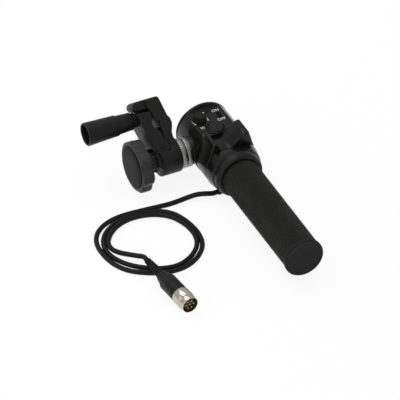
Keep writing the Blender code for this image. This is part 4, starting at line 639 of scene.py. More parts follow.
@dataclass
class Assembly:
    """A sub-assembly whose pieces ride on one body.

    Attributes:
        body: The frame's body that its pieces ride on.
        pieces: The pieces made so far.
    """

    body: str
    pieces: list[Shape] = field(default_factory=list)

    def add(self, obj: Shape, finish: Finish, slot: str, *nodes: str,
            smooth_deg: float = 40.0) -> None:
        """Dress a finished piece and set it on its body.

        Args:
            obj: The piece, in place.
            finish: Its finish.
            slot: Name of the piece's material slot; not used.
            *nodes: Nodes of the frame that it stands for.
            smooth_deg: Angle above which an edge stays sharp.
        """
        activate(obj)
        obj.data.materials.clear()
        obj.data.materials.append(finish.material())
        bpy.ops.object.shade_smooth_by_angle(angle=math.radians(smooth_deg))
        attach(obj, self.body)
        if nodes:
            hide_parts(*nodes)
        self.pieces.append(obj)
        LOG.info("%s on %s: %d faces", obj.name, self.body, len(obj.data.polygons))


# Gap between the cord's ends and what holds them
FIT = 0.3
# Height of the clamp screw's axis over the swivel, up the clamp
SCREW_HEIGHT = 38.0
# Axes of the head and grip, of the clamp, which leans back about the swivel, and of the plug,
# whose rear is placed from the foot of the swivel on the table
CLAMP_LEAN_DEG = 40.5
PLUG_TURN_DEG = 5.4
PLUG_REAR: Point = (-112.0, -101.0)
AXIS_POINT = vector(Extent.of("grip_sleeve").centre[0], Extent.of("swivel_stud").centre[1],
                    Extent.of("grip_sleeve").centre[2])
HEAD = Matrix.Translation(AXIS_POINT)
CLAMP = HEAD @ Matrix.Rotation(-math.radians(CLAMP_LEAN_DEG), 4, "X")
TABLE = Vector((AXIS_POINT.x, AXIS_POINT.y, 0.0))
PLUG = (Matrix.Translation(TABLE + vector(*PLUG_REAR, Extent.of("coupling_ring").centre[2]))
        @ Matrix.Rotation(math.radians(PLUG_TURN_DEG), 4, "Z")
        @ Matrix.Rotation(math.pi / 2, 4, "X"))


@dataclass
class CameraRig:
    """The camera at the photograph's viewing angle.

    Attributes:
        target: Point at the picture's centre.
        azimuth_deg: Turn of the camera about Z from the front, towards -X.
        elevation_deg: Height of the camera above the horizon.
        distance: Distance from the target.
        lens: Focal length, as long as the far limit of every view allows.
        sensor: Width of the sensor.
    """

    target: tuple[float, float, float] = (19.1, 44.8, -14.7)
    azimuth_deg: float = -25.7
    elevation_deg: float = 38.4
    distance: float = 13975.0
    lens: float = 1480.0
    sensor: float = 36.0

    def build(self) -> None:
        """Add the camera and make it the scene's."""
        azimuth = math.radians(self.azimuth_deg)
        elevation = math.radians(self.elevation_deg)
        back = Vector((math.cos(elevation) * math.sin(azimuth),
                       -math.cos(elevation) * math.cos(azimuth), math.sin(elevation)))
        camera = bpy.data.objects.new("camera", bpy.data.cameras.new("camera"))
        bpy.context.scene.collection.objects.link(camera)
        camera.data.lens = self.lens
        camera.data.sensor_width = self.sensor
        camera.data.clip_start = 0.05
        camera.location = vector(*self.target) + back * (self.distance * MM)
        camera.rotation_euler = (-back).to_track_quat("-Z", "Y").to_euler()
        bpy.context.scene.camera = camera


@dataclass
class Studio:
    """Pale floor and soft light, laid out in metres.

    Attributes:
        floor_size: Side of the floor.
        paper: sRGB hex colour of the floor.
        glow: Brightness of the floor to the camera.
        sky: Strength of the even light from all round.
        sheen: Strength of the surroundings that gloss reflects.
        shadow_share: Share of the floor's shadow that the camera sees.
        softboxes: Name, place, side and power of each softbox.
    """

    floor_size: float = 6.0
    paper: str = "F7F7F7"
    glow: float = 1.08
    sky: float = 0.42
    sheen: float = 0.58
    shadow_share: float = 0.18
    softboxes: tuple[tuple[str, tuple[float, float, float], float, float], ...] = (
        ("overhead_softbox", (-0.25, 0.45, 1.30), 0.9, 5.0),
        ("left_softbox", (-1.20, -0.30, 0.70), 0.8, 2.0))

    def seen(self, tree: Tree) -> tuple[Socket, Socket]:
        """Add the light path's share of camera and glass rays, and of glossy rays.

        Args:
            tree: The material's or the world's node tree.

        Returns:
            One where the camera or glass looks, and one where gloss looks.
        """
        path = add_node(tree, "ShaderNodeLightPath")
        looked = add_node(tree, "ShaderNodeMath", {"operation": "MAXIMUM"}, None,
                          {0: path.outputs["Is Camera Ray"],
                           1: path.outputs["Is Transmission Ray"]})
        return looked.outputs["Value"], path.outputs["Is Glossy Ray"]

    def floor(self) -> None:
        """Add the floor, white to the camera and with the object's shadow."""
        deselect()
        bpy.ops.mesh.primitive_plane_add(size=self.floor_size)
        plane = bpy.context.object
        plane.name = "floor"
        paper = bpy.data.materials.new("white_paper")
        paper.use_nodes = True
        tree = paper.node_tree
        tree.nodes.clear()
        looked, glossy = self.seen(tree)
        either = add_node(tree, "ShaderNodeMath", {"operation": "MAXIMUM"}, None,
                          {0: looked, 1: glossy})
        share = add_node(tree, "ShaderNodeMath", {"operation": "MULTIPLY"},
                         {1: 1 - self.shadow_share}, {0: either.outputs["Value"]})
        white = add_node(tree, "ShaderNodeBsdfDiffuse", None, {"Color": linear(self.paper)})
        glow = add_node(tree, "ShaderNodeEmission", None, {"Strength": self.glow})
        mixed = add_node(tree, "ShaderNodeMixShader", None, None,
                         {0: share.outputs["Value"], 1: white.outputs["BSDF"],
                          2: glow.outputs["Emission"]})
        add_node(tree, "ShaderNodeOutputMaterial", None, None,
                 {"Surface": mixed.outputs["Shader"]})
        plane.data.materials.append(paper)

    def world(self) -> None:
        """Light the scene evenly from all round, white to the camera."""
        world = bpy.data.worlds.new("studio")
        world.use_nodes = True
        bpy.context.scene.world = world
        tree = world.node_tree
        tree.nodes.clear()
        looked, glossy = self.seen(tree)
        soft = add_node(tree, "ShaderNodeMapRange", None,
                        {"To Min": self.sky, "To Max": self.sheen}, {"Value": glossy})
        strength = add_node(tree, "ShaderNodeMapRange", None, {"To Max": 1.0},
                            {"Value": looked, "To Min": soft.outputs["Result"]})
        even = add_node(tree, "ShaderNodeBackground", None, {"Color": (1.0, 1.0, 1.0, 1.0)},
                        {"Strength": strength.outputs["Result"]})
        add_node(tree, "ShaderNodeOutputWorld", None, None,
                 {"Surface": even.outputs["Background"]})

    def build(self) -> None:
        """Add the floor, the surroundings and the softboxes that point at the object."""
        bpy.context.scene.view_settings.view_transform = "Standard"
        self.floor()
        self.world()
        for name, place, side, power in self.softboxes:
            lamp = bpy.data.lights.new(name, "AREA")
            lamp.size = side
            lamp.energy = power
            box = bpy.data.objects.new(name, lamp)
            bpy.context.scene.collection.objects.link(box)
            box.location = place
            aim = AXIS_POINT - Vector(place)
            box.rotation_euler = aim.to_track_quat("-Z", "Y").to_euler()


@dataclass
class Cable(Assembly):
    """The free cord from the gland to the plug, in two and a half turns on the table.

    Attributes:
        radius: Radius of the cord.
        lead: Straight length at each end.
        route: Points along the cord after the gland, from the swivel's axis and the table.
    """

    body: str = "head"
    radius: float = 2.2
    lead: float = 4.5
    route: tuple[tuple[float, float, float], ...] = (
        (-26.5, -37.5, 5.2), (-33.5, -35.2, 5.0), (-41.0, -33.7, 3.6), (-49.1, -33.4, 2.5),
        (-57.1, -33.5, 2.1), (-64.7, -33.0, 2.0), (-72.1, -32.3, 2.0), (-82.8, -31.4, 2.0),
        (-95.0, -30.6, 2.0), (-106.2, -31.0, 2.0), (-117.0, -33.7, 2.0), (-126.7, -39.3, 2.0),
        (-133.7, -47.3, 2.0), (-137.7, -57.3, 2.0), (-138.7, -68.0, 2.0), (-137.9, -78.8, 2.0),
        (-134.6, -90.2, 2.0), (-128.7, -99.6, 2.0), (-120.4, -106.6, 2.0),
        (-110.4, -112.2, 2.0), (-100.9, -115.7, 2.0), (-92.0, -116.8, 2.0),
        (-82.8, -115.8, 2.0), (-73.3, -111.8, 2.0), (-64.7, -105.2, 2.0), (-57.5, -95.4, 2.0),
        (-54.1, -83.2, 2.0), (-54.2, -69.2, 2.0), (-57.2, -56.1, 2.0), (-62.5, -45.4, 2.0),
        (-70.7, -38.9, 2.1), (-80.2, -35.9, 2.3), (-90.3, -34.5, 2.4), (-99.6, -34.6, 2.5),
        (-107.5, -36.4, 2.5), (-116.0, -40.1, 2.5), (-124.3, -46.2, 2.5), (-130.3, -54.0, 2.5),
        (-133.8, -63.2, 2.5), (-134.2, -73.6, 2.5), (-131.1, -84.0, 2.5), (-124.9, -93.8, 2.5),
        (-117.2, -101.2, 2.5), (-107.8, -107.3, 2.5), (-98.6, -110.9, 2.5),
        (-88.2, -111.9, 2.5), (-77.8, -108.5, 2.5), (-68.2, -101.7, 2.5), (-61.2, -92.5, 2.5),
        (-57.9, -82.2, 2.5), (-57.8, -70.6, 2.5), (-60.6, -59.3, 2.6), (-65.6, -50.4, 2.8),
        (-73.3, -44.0, 3.0), (-82.4, -40.0, 3.1), (-92.3, -38.4, 3.1), (-101.7, -39.1, 3.1),
        (-110.4, -42.0, 3.1), (-118.5, -47.2, 3.1), (-124.9, -53.8, 3.1), (-128.9, -60.9, 3.1),
        (-129.6, -68.6, 3.4), (-126.8, -76.4, 4.2), (-121.8, -83.6, 5.6), (-116.8, -90.6, 7.3),
    )

    def points(self) -> list[Vector]:
        """Find the cord's way in the frame.

        Returns:
            Its points, from the gland to the plug's boot.
        """
        gland = Extent.of("cable_gland")
        start = vector(gland.low[0] - FIT, *gland.centre[1:])
        ahead = PLUG.to_3x3() @ vector(0.0, 0.0, 1.0)
        end = PLUG.translation - ahead * FIT
        return [start, start - vector(self.lead, 0.0, 0.0),
                *(TABLE + vector(*point) for point in self.route),
                end - ahead * self.lead, end]

    def build(self) -> None:
        """Lay the cord as one smooth curve through its points."""
        radius = self.radius * MM
        curve = bpy.data.curves.new("cable_cord", "CURVE")
        curve.dimensions = "3D"
        curve.resolution_u = 6
        curve.bevel_depth = radius
        curve.bevel_resolution = 5
        curve.use_fill_caps = True
        spline = curve.splines.new("BEZIER")
        places = self.points()
        spline.bezier_points.add(len(places) - 1)
        for knot, place in zip(spline.bezier_points, places):
            knot.co = place
            knot.handle_left_type = "AUTO"
            knot.handle_right_type = "AUTO"
        obj = bpy.data.objects.new("cable_cord", curve)
        bpy.context.scene.collection.objects.link(obj)
        curve.materials.append(PVC_JACKET.material())
        bpy.context.view_layer.update()
        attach(obj, self.body)
        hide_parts("cord")


@dataclass
class Plug(Assembly):
    """Circular cable plug: ribbed boot, neck, shell, coupling ring and contacts.

    Attributes:
        boot_length: Length of the strain relief.
        boot_rear: Its radius at the cord.
        boot_front: Its radius at the neck.
        ribs: Number of ribs on it.
        rib_depth: Depth of the grooves between the ribs.
        slots: Number of grip slots in the coupling ring.
    """

    body: str = "head"
    boot_length: float = 24.0
    boot_rear: float = 2.9
    boot_front: float = 4.2
    ribs: int = 7
    rib_depth: float = 0.8
    slots: int = 18

    def boot(self) -> None:
        """Model the tapering strain relief with its rounded ribs."""
        deep, edge = self.rib_depth, 0.25
        rib_shape = ((deep, 0.10), (edge, 0.20), (0.0, 0.30), (0.0, 0.78), (edge, 0.88),
                     (deep, 0.97))
        pitch = self.boot_length / self.ribs
        profile = [(self.boot_rear - deep, 0.0)]
        for rib in range(self.ribs):
            share = (rib + 0.5) / self.ribs
            outer = self.boot_rear + (self.boot_front - self.boot_rear) * share
            profile += [(outer - drop, (rib + along) * pitch) for drop, along in rib_shape]
        profile.append((self.boot_front - deep, self.boot_length))
        boot = lathe("plug_boot_ribbed", profile, Sides.SMALL, PLUG)
        self.add(boot, BOOT_RUBBER, "black_rubber", "plug_boot")

    def neck(self) -> None:
        """Model the moulded neck with its clamp groove."""
        profile = [(4.8, 24.3), (5.2, 24.7), (5.6, 26.6), (5.35, 26.9), (5.45, 27.5),
                   (5.9, 27.8), (6.35, 30.4), (6.6, 31.6), (6.6, 32.3)]
        neck = lathe("plug_neck_moulded", profile, Sides.MEDIUM, PLUG)
        self.add(neck, SATIN_NYLON, "satin_black", "plug_neck")

    def shell(self) -> None:
        """Model the hollow shell with its groove and chamfered rear."""
        profile = [(6.6, 32.6), (7.3, 33.0), (7.8, 33.9), (7.8, 49.6), (7.5, 49.9),
                   (7.5, 50.5), (7.8, 50.8), (7.8, 53.7), (7.5, 54.1), (6.1, 54.1),
                   (6.1, 34.6), (5.0, 34.6), (5.0, 32.6)]
        shell = lathe("plug_shell_moulded", profile, Sides.MEDIUM, PLUG, tube=True)
        self.add(shell, SATIN_NYLON, "satin_black", "plug_shell")

    def ring(self) -> Shape:
        """Model the plated coupling ring with its grip slots.

        Returns:
            The ring.
        """
        profile = [(7.5, 54.4), (8.0, 54.7), (8.2, 55.2), (8.2, 57.4), (7.9, 57.7),
                   (7.9, 58.3), (8.2, 58.6), (8.2, 65.2), (7.9, 65.6), (7.5, 65.7),
                   (7.5, 70.3), (7.3, 70.8), (7.1, 70.9), (6.9, 70.3), (6.9, 54.9), (7.1, 54.4)]
        ring = lathe("coupling_ring_plated", profile, Sides.LARGE, tube=True,
                     round_sides=self.slots * 8)
        emboss(ring, self.slots, depth=0.45, low=59.2, high=64.8, sharp=3.0)
        turn(ring, PLUG)
        Assembly("coupling_ring").add(ring, NICKEL_PLATE, "nickel", "coupling_ring")
        return ring

    def insulator(self) -> None:
        """Model the contact carrier with its raised rim and key slot."""
        profile = [(4.8, 33.0), (5.6, 33.3), (5.8, 33.7), (5.8, 66.4), (5.4, 66.4),
                   (5.3, 65.8), (4.9, 65.6)]
        carrier = lathe("contact_carrier", profile, Sides.MEDIUM)
        cut(carrier, block("key_slot", (1.4, 1.2, 8.0), (0.0, 5.8, 64.0)))
        self.add(turn(carrier, PLUG), GREY_NYLON, "grey_plastic", "contact_body")

    def build(self) -> list[Shape]:
        """Build the plug.

        Returns:
            Every piece that hangs on the cord, the contacts among them.
        """
        ring = self.ring()
        self.boot()
        self.neck()
        self.shell()
        self.insulator()
        pins = [obj for name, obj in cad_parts.items() if name.startswith("contact_pin")]
        return [*self.pieces, ring, *pins]


@dataclass
class HeadShell(Assembly):
    """Casing, back cover, front ring and collar of the head.

    Attributes:
        radius: Radius of the drum.
        flat: Height of the seat of the control panel.
        wall: Wall thickness.
        screw_numbers: Numbers of the cover's screws.
    """

    body: str = "head"
    radius: float = 24.6
    flat: float = 19.7
    wall: float = 2.4
    screw_numbers: tuple[int, ...] = (1, 2, 3)

    @property
    def outlet(self) -> Matrix:
        """Axes of the cable's way out of the front ring, with Z along it."""
        return shift(0.0, -38.5, -20.0) @ ALONG_X

    def screw_axis(self, number: int) -> Matrix:
        """Give the axes of one of the cover's screws, with Z along it."""
        x, _, z = Extent.of(f"cover_screw_{number}", HEAD).centre
        return shift(x, 0.0, z) @ ALONG_Y

    def casing(self) -> None:
        """Model the drum with its flat top, its swivel boss and its hollow inside."""
        shell = prism("casing_moulded", flat_topped_circle(self.radius, self.flat - 0.4, 72),
                      35.5, shift(0.3, 5.25, 0.4) @ OUTLINE_UPRIGHT)
        soften(shell, 0.5, segments=3, angle_deg=25.0)
        cut(shell, block("seat", (27.1, 35.6, 2.0), (0.0, 5.25, 19.85)))
        unite(shell, lathe("boss", [(12.2, -14.0), (12.2, -24.7), (11.9, -25.1)],
                           Sides.LARGE, ALONG_X))
        inside = flat_topped_circle(self.radius - self.wall, self.flat - self.wall - 1.1, 48)
        cut(shell, prism("hollow", inside, 40.0, shift(y=10.5) @ OUTLINE_UPRIGHT),
            block("window", (22.0, 29.0, 8.0), (0.0, 4.0, 18.6)),
            rod(3.9, -30.0, 0.0, Sides.SMALL, ALONG_X),
            rod(15.1, -16.0, 0.0, Sides.MEDIUM, ALONG_Y))
        self.add(turn(shell, HEAD), GLOSS_ABS, "gloss_black", "head_casing")

    def back_cover(self) -> None:
        """Model the back cover with its raised rim and three screw recesses."""
        centre = shift(0.3, 0.0, 0.4) @ ALONG_Y
        profile = [(23.8, 23.3), (24.4, 23.45), (24.6, 23.9), (24.6, 25.5), (24.4, 25.95),
                   (23.8, 26.1)]
        cover = lathe("back_cover_moulded", profile, Sides.LARGE, centre)
        sweep = [(19.2, 19.7), *arc((19.2, 24.3), 4.5, -90.0, 0.0, 10), (23.7, 19.7)]
        cove = prism("cove", sweep, 36.0, OUTLINE_SIDEWAYS)
        unite(cover, combine(cove, "INTERSECT", rod(24.5, 0.0, 24.0, Sides.LARGE, centre)))
        dish = prism("dish", flat_topped_circle(19.4, 15.2, 64), 2.0)
        soften(dish, 0.35, segments=2, angle_deg=25.0)
        cut(cover, turn(dish, shift(y=26.7) @ OUTLINE_UPRIGHT))
        lying = shift(y=22.4) @ OUTLINE_UPRIGHT
        spigot = prism("spigot", flat_topped_circle(21.5, 15.9, 48), 2.2, lying)
        inner = prism("inner", flat_topped_circle(19.9, 14.3, 48), 6.0, lying)
        unite(cover, cut(spigot, inner))
        for number in self.screw_numbers:
            place = self.screw_axis(number)
            cut(cover, rod(2.5, 24.6, 30.0, Sides.SMALL, place),
                rod(1.3, 10.0, 30.0, Sides.TINY, place))
        self.add(turn(cover, HEAD), SATIN_NYLON, "satin_black", "back_cover")

    def screws(self) -> None:
        """Model a pan-head screw with its cross recess, and copy it to the cover's holes."""
        profile = [(1.1, 18.0), (1.1, 26.4), (2.05, 26.4), (2.05, 26.8), (1.8, 27.2),
                   (1.2, 27.45), (0.5, 27.5)]
        pattern = lathe("pan_screw", profile, Sides.SMALL)
        slot = block("slot", (2.2, 0.45, 0.8), (0.0, 0.0, 27.4))
        cut(pattern, slot, copy_of(slot, "cross_slot", Matrix.Rotation(math.pi / 2, 4, "Z")))
        for number in self.screw_numbers:
            screw = copy_of(pattern, f"pan_screw_{number}", HEAD @ self.screw_axis(number))
            self.add(screw, ZINC_STEEL, "dark_steel", f"cover_screw_{number}")
        bpy.data.objects.remove(pattern)

    def front_ring(self) -> None:
        """Model the fixed ring in front of the rocker, with its flat top facet."""
        profile = [(15.5, -33.3), (24.0, -33.3), (24.4, -33.7), (22.8, -42.7),
                   (22.4, -43.8), (21.9, -44.1), (15.5, -44.1)]
        ring = lathe("front_ring_moulded", profile, Sides.LARGE,
                     shift(0.2, 0.0, 0.3) @ ALONG_Y, tube=True)
        cut(ring, block("facet", (60.0, 30.0, 12.0), (0.0, -38.7, 24.0)),
            rod(3.2, -24.0, -7.9, Sides.SMALL, self.outlet))
        soften(ring, 0.35, segments=2, angle_deg=35.0)
        self.add(turn(ring, HEAD), GLOSS_ABS, "gloss_black", "front_ring")

    def collar(self) -> None:
        """Model the bell-shaped collar that closes the head round the grip."""
        bell = [(19.4 + 2.4 * x, -44.6 + 6.8 * y)
                for x, y in arc((0.0, 0.0), 1.0, 0.0, -90.0, 10)]
        profile = [(21.4, -44.4), *bell, (18.9, -51.6), (17.7, -51.4), (17.7, -48.4),
                   (11.5, -48.4), (11.5, -44.4)]
        collar = lathe("collar_bell", profile, Sides.LARGE, HEAD @ ALONG_Y, tube=True)
        self.add(collar, SATIN_NYLON, "satin_black", "grip_collar")

    def gland(self) -> None:
        """Model the cable's short strain relief where it leaves the front ring."""
        profile = [(2.0, -15.75), (2.5, -15.5), (2.9, -14.9), (2.9, -13.2), (2.4, -12.9),
                   (2.4, -12.3), (2.9, -12.0), (2.9, -8.25)]
        gland = lathe("cable_relief", profile, Sides.SMALL, HEAD @ self.outlet)
        self.add(gland, BOOT_RUBBER, "black_rubber", "cable_gland")

    def build(self) -> None:
        """Build the shell's pieces in order."""
        self.casing()
        self.back_cover()
        self.screws()
        self.front_ring()
        self.collar()
        self.gland()


@dataclass
class Controls(Assembly):
    """The panel with its printing, and the dial, switch and button on it.

    Attributes:
        top: Height of the panel's face.
        dial_centre: Centre of the speed dial on the panel.
        pointer_deg: Turn of the dial's pointer.
        flutes: Number of flutes round the dial.
        switch_centre: Centre of the slide switch's slot.
        button_centre: Centre of the push button.
        ink: Thickness of the printing.
    """

    body: str = "head"
    top: float = 19.8
    dial_centre: Point = (-8.8, 11.7)
    pointer_deg: float = 12.0
    flutes: int = 18
    switch_centre: Point = (9.4, 10.8)
    button_centre: Point = (-0.8, -4.3)
    ink: float = 0.06

    def panel(self) -> None:
        """Model the cover plate with its holes and its bright-edged chamfer."""
        half, front, back = 13.51, -12.5, 23.0
        corners = rounded([(-half, front), (half, front), (half, back), (-half, back)], 1.2)
        plate = prism("control_panel_plate", corners, 0.9, shift(z=self.top - 0.45))
        soften(plate, 0.35, segments=2, angle_deg=50.0)
        for centre, radius in ((self.dial_centre, 3.5), (self.button_centre, 7.1)):
            cut(plate, rod(radius, 16.0, 22.0, Sides.MEDIUM, shift(*centre)))
        cut(plate, block("slot", (3.2, 7.4, 6.0), (*self.switch_centre, self.top)))
        self.add(turn(plate, HEAD), PANEL_ABS, "satin_black", "control_panel")

    def wedge(self, name: str, thin_deg: float, thick_deg: float) -> Shape:
        """Model a printed wedge that widens round the dial.

        Args:
            name: The mark's name.
            thin_deg: Angle of its thin end.
            thick_deg: Angle of its thick end.

        Returns:
            The wedge on the panel.
        """
        steps, reach = 12, 6.75
        inner, outer = [], []
        for step in range(steps + 1):
            share = step / steps
            angle = math.radians(thin_deg + (thick_deg - thin_deg) * share)
            width = 0.25 + 1.35 * share ** 2
            for line, radius in ((inner, reach), (outer, reach + width)):
                line.append((self.dial_centre[0] + radius * math.cos(angle),
                             self.dial_centre[1] + radius * math.sin(angle)))
        return prism(name, [*inner, *reversed(outer)], self.ink,
                     shift(z=self.top + self.ink / 2))

    def word(self, text: str, centre: Point, height: float) -> Shape:
        """Model printed lettering as a thin mesh.

        Args:
            text: What it says.
            centre: Middle of the lettering on the panel.
            height: Size of the letters.

        Returns:
            The lettering, in place.
        """
        weight = 0.028
        deselect()
        bpy.ops.object.text_add()
        obj = bpy.context.object
        obj.data.body = text
        obj.data.align_x = "CENTER"
        obj.data.align_y = "CENTER"
        obj.data.size = height * MM
        obj.data.extrude = self.ink * MM / 2
        obj.data.offset = height * MM * weight
        bpy.ops.object.convert(target="MESH")
        return turn(obj, shift(*centre, self.top + self.ink / 2))

    def printing(self) -> None:
        """Print the dial's wedges and number and the switch's two positions."""
        switch_x = self.switch_centre[0] - 0.5
        marks = [self.wedge("slow_wedge", 172.0, 223.0), self.wedge("fast_wedge", 22.0, -33.0),
                 self.word("10", (-11.5, 0.3), 4.1), self.word("ON", (switch_x, 17.6), 4.3),
                 self.word("OFF", (switch_x, 4.6), 4.3)]
        printed = marks[0]
        activate(printed)
        for mark in marks:
            mark.select_set(True)
        bpy.ops.object.join()
        printed.name = "panel_printing"
        self.add(turn(printed, HEAD), WHITE_INK, "grey_plastic")

    def dial(self) -> None:
        """Model the fluted speed dial with its skirt and crowned top."""
        profile = [(5.6, 20.1), (6.15, 20.35), (6.15, 20.9), (5.95, 21.3), (5.75, 24.6),
                   (5.5, 25.2), (5.0, 25.5), *dome(4.6, 25.2, 0.4, 4)]
        dial = lathe("speed_dial_fluted", profile, Sides.LARGE, round_sides=self.flutes * 8)
        emboss(dial, self.flutes, depth=0.55, low=21.2, high=25.3, sharp=2.0)
        turn(dial, HEAD @ shift(*self.dial_centre))
        Assembly("speed_dial").add(dial, CAP_NYLON, "satin_black", "speed_dial")

    def pointer(self) -> None:
        """Model the dial's white pointer line, let into its top."""
        outline = rounded([(3.4, -0.5), (5.0, -0.5), (5.0, 0.5), (3.4, 0.5)], 0.3)
        place = (HEAD @ shift(*self.dial_centre, 25.4)
                 @ Matrix.Rotation(math.radians(self.pointer_deg), 4, "Z"))
        line = prism("dial_pointer", outline, 0.5, place)
        Assembly("speed_dial").add(line, WHITE_INK, "grey_plastic")

    def switch(self) -> None:
        """Model the slide switch's ridged nub on its slider plate."""
        size = Extent.of("slide_switch", HEAD)
        width, length, _ = (high - low for low, high in zip(size.low, size.high))
        x, y = self.switch_centre[0], size.centre[1]
        nub = soften(block("slide_nub", (2.6, 3.6, 3.0), (x, y, 20.1)), 0.4, segments=3)
        for step in (-1.1, -0.35, 0.4, 1.15):
            cut(nub, block("groove", (3.0, 0.3, 0.5), (x, y + step, 21.6)))
        unite(nub, block("slider", (width, length, 3.6), (x, y, 16.4)))
        Assembly("slide_switch").add(turn(nub, HEAD), CAP_NYLON, "grey_plastic",
                                     "slide_switch")

    def button(self) -> None:
        """Model the domed push button with its stem."""
        profile = [(1.5, 15.0), (1.5, 18.6), (6.5, 18.6), (6.8, 18.9), (6.8, 20.5),
                   (6.65, 20.9), (6.5, 20.95), (6.3, 20.7), (6.2, 20.7), (6.05, 20.95),
                   *dome(5.8, 21.0, 0.4, 8)]
        button = lathe("push_button_domed", profile, Sides.LARGE,
                       HEAD @ shift(*self.button_centre))
        Assembly("push_button").add(button, SATIN_NYLON, "satin_black", "push_button")

    def bezel(self) -> None:
        """Model the rounded bezel round the button."""
        profile = [(7.1, 20.1), (7.1, 20.5), (7.3, 20.75), (7.9, 20.8), (8.25, 20.6),
                   (8.4, 20.1)]
        bezel = lathe("button_bezel_rounded", profile, Sides.LARGE,
                      HEAD @ shift(*self.button_centre), tube=True)
        self.add(bezel, GLOSS_ABS, "gloss_black", "button_bezel")

    def build(self) -> None:
        """Build the controls in order."""
        self.panel()
        self.printing()
        self.dial()
        self.pointer()
        self.switch()
        self.button()
        self.bezel()


@dataclass
class ThumbRocker(Assembly):
    """The zoom control: a ring round the head with two horns for the thumb.

    Attributes:
        radius: Radius of the ring.
        horn_x: Distance of the right horn's edge from the middle.
        horn_top: Height of the right horn.
        left_x: Distance of the left horn's edge from the middle.
        left_top: Height of the left horn.
        tip: Radius of the horns' outer edges.
        valley: Height of the valley between them.
        depth: Length along the grip.
    """

    body: str = "thumb_rocker"
    radius: float = 24.1
    horn_x: float = 17.0
    horn_top: float = 29.9
    left_x: float = 17.0
    left_top: float = 26.4
    tip: float = 1.3
    valley: float = 17.8
    depth: float = 20.2

    def outline(self) -> list[Point]:
        """Draw the rocker as it is seen along the grip.

        Returns:
            Its outline.
        """
        tip = self.tip
        lower = arc((0.2, 0.3), self.radius, 8.0, -188.0, 72)
        left = arc((-self.left_x + tip, self.left_top - tip), tip, 180.0, 90.0, 5)
        left += self.slope((-self.left_x + 2.2, self.left_top), (-8.6, self.valley))
        right = self.slope((-3.4, self.valley), (self.horn_x - 2.6, self.horn_top))
        right += arc((self.horn_x - tip, self.horn_top - tip), tip, 90.0, 0.0, 5)
        return [*lower, *left, *right]

    def slope(self, start: Point, end: Point) -> list[Point]:
        """Draw a smooth rise or fall between two places.

        Args:
            start: Its first point.
            end: Its last point.

        Returns:
            The points, both ends included.
        """
        steps = 12
        points = []
        for step in range(steps + 1):
            share = step / steps
            fall = (1 - math.cos(math.pi * share)) / 2
            points.append((start[0] + (end[0] - start[0]) * share,
                           start[1] + (end[1] - start[1]) * fall))
        return points

    def build(self) -> None:
        """Model the rocker with crowned horns and rounded edges."""
        rocker = prism("thumb_rocker_moulded", self.outline(), self.depth,
                       shift(y=-22.9) @ OUTLINE_UPRIGHT)
        soften(rocker, 1.2, segments=3, angle_deg=50.0)
        cut(rocker, rod(15.1, -40.0, 0.0, Sides.MEDIUM, ALONG_Y))
        self.add(turn(rocker, HEAD), GLOSS_ABS, "satin_black", "thumb_rocker")


@dataclass
class Grip(Assembly):
    """Diamond-knurled rubber sleeve and its end cap.

    Attributes:
        radius: Radius over the diamonds.
        bore: Radius of the sleeve's bore.
        start: Rear end of the sleeve.
        end: Front end of the sleeve.
        rows: Diamonds along the sleeve.
        columns: Diamonds round the sleeve.
        relief: Height of the diamonds.
    """

    body: str = "head"
    radius: float = 17.4
    bore: float = 11.5
    start: float = -48.7
    end: float = -170.9
    rows: int = 74
    columns: int = 62
    relief: float = 0.60

    def sleeve(self) -> None:
        """Model the sleeve, with each diamond raised to a low point."""
        floor = self.radius - self.relief
        rings = [(floor, self.start + (self.end - self.start) * row / self.rows)
                 for row in range(self.rows + 1)]
        sleeve = lathe("grip_sleeve_knurled",
                       [*rings, (self.bore, self.end), (self.bore, self.start)],
                       Sides.LARGE, tube=True, round_sides=self.columns)
        known = len(sleeve.data.vertices)

        def outside(vertex: bmesh.types.BMVert) -> bool:
            """Tell whether a corner lies on the outer skin."""
            return math.hypot(vertex.co.x, vertex.co.y) > floor * MM * 0.99

        def pick_skin(shape: bmesh.types.BMesh) -> None:
            """Select the outer skin alone."""
            pick_faces(shape, [face for face in shape.faces if all(map(outside, face.verts))])

        with editing(sleeve) as shape:
            pick_skin(shape)
            bpy.ops.mesh.poke(offset=0.0)
        with editing(sleeve) as shape:
            bpy.ops.mesh.select_mode(type="EDGE")
            bpy.ops.mesh.select_all(action="DESELECT")
            for edge in shape.edges:
                squared = all(vertex.index < known and outside(vertex)
                              for vertex in edge.verts)
                skinned = all(all(map(outside, face.verts)) for face in edge.link_faces)
                edge.select_set(squared and skinned)
            bpy.ops.mesh.dissolve_edges(use_verts=False)
        with editing(sleeve) as shape:
            pick_skin(shape)
            bpy.ops.mesh.poke(offset=self.relief * MM)
        turn(sleeve, HEAD @ ALONG_Y)
        self.add(sleeve, NITRILE, "black_rubber", "grip_sleeve", smooth_deg=60.0)

    def cap(self) -> None:
        """Model the end cap with its rounded rim, shallow dish and spigot."""
        profile = [(8.9, -171.2), (8.9, -161.4), (9.2, -161.2), (10.5, -161.2),
                   (10.5, -171.2), (17.8, -171.2), (18.0, -171.45), (18.0, -173.2),
                   (17.7, -173.85), (17.1, -174.2), (16.3, -174.15), (15.7, -173.8),
                   (13.0, -173.75), (3.0, -173.75)]
        cap = lathe("end_cap_moulded", profile, Sides.LARGE, HEAD @ ALONG_Y)
        self.add(cap, CAP_RUBBER, "satin_black", "end_cap")

    def build(self) -> None:
        """Build the grip's pieces in order."""
        self.sleeve()
        self.cap()


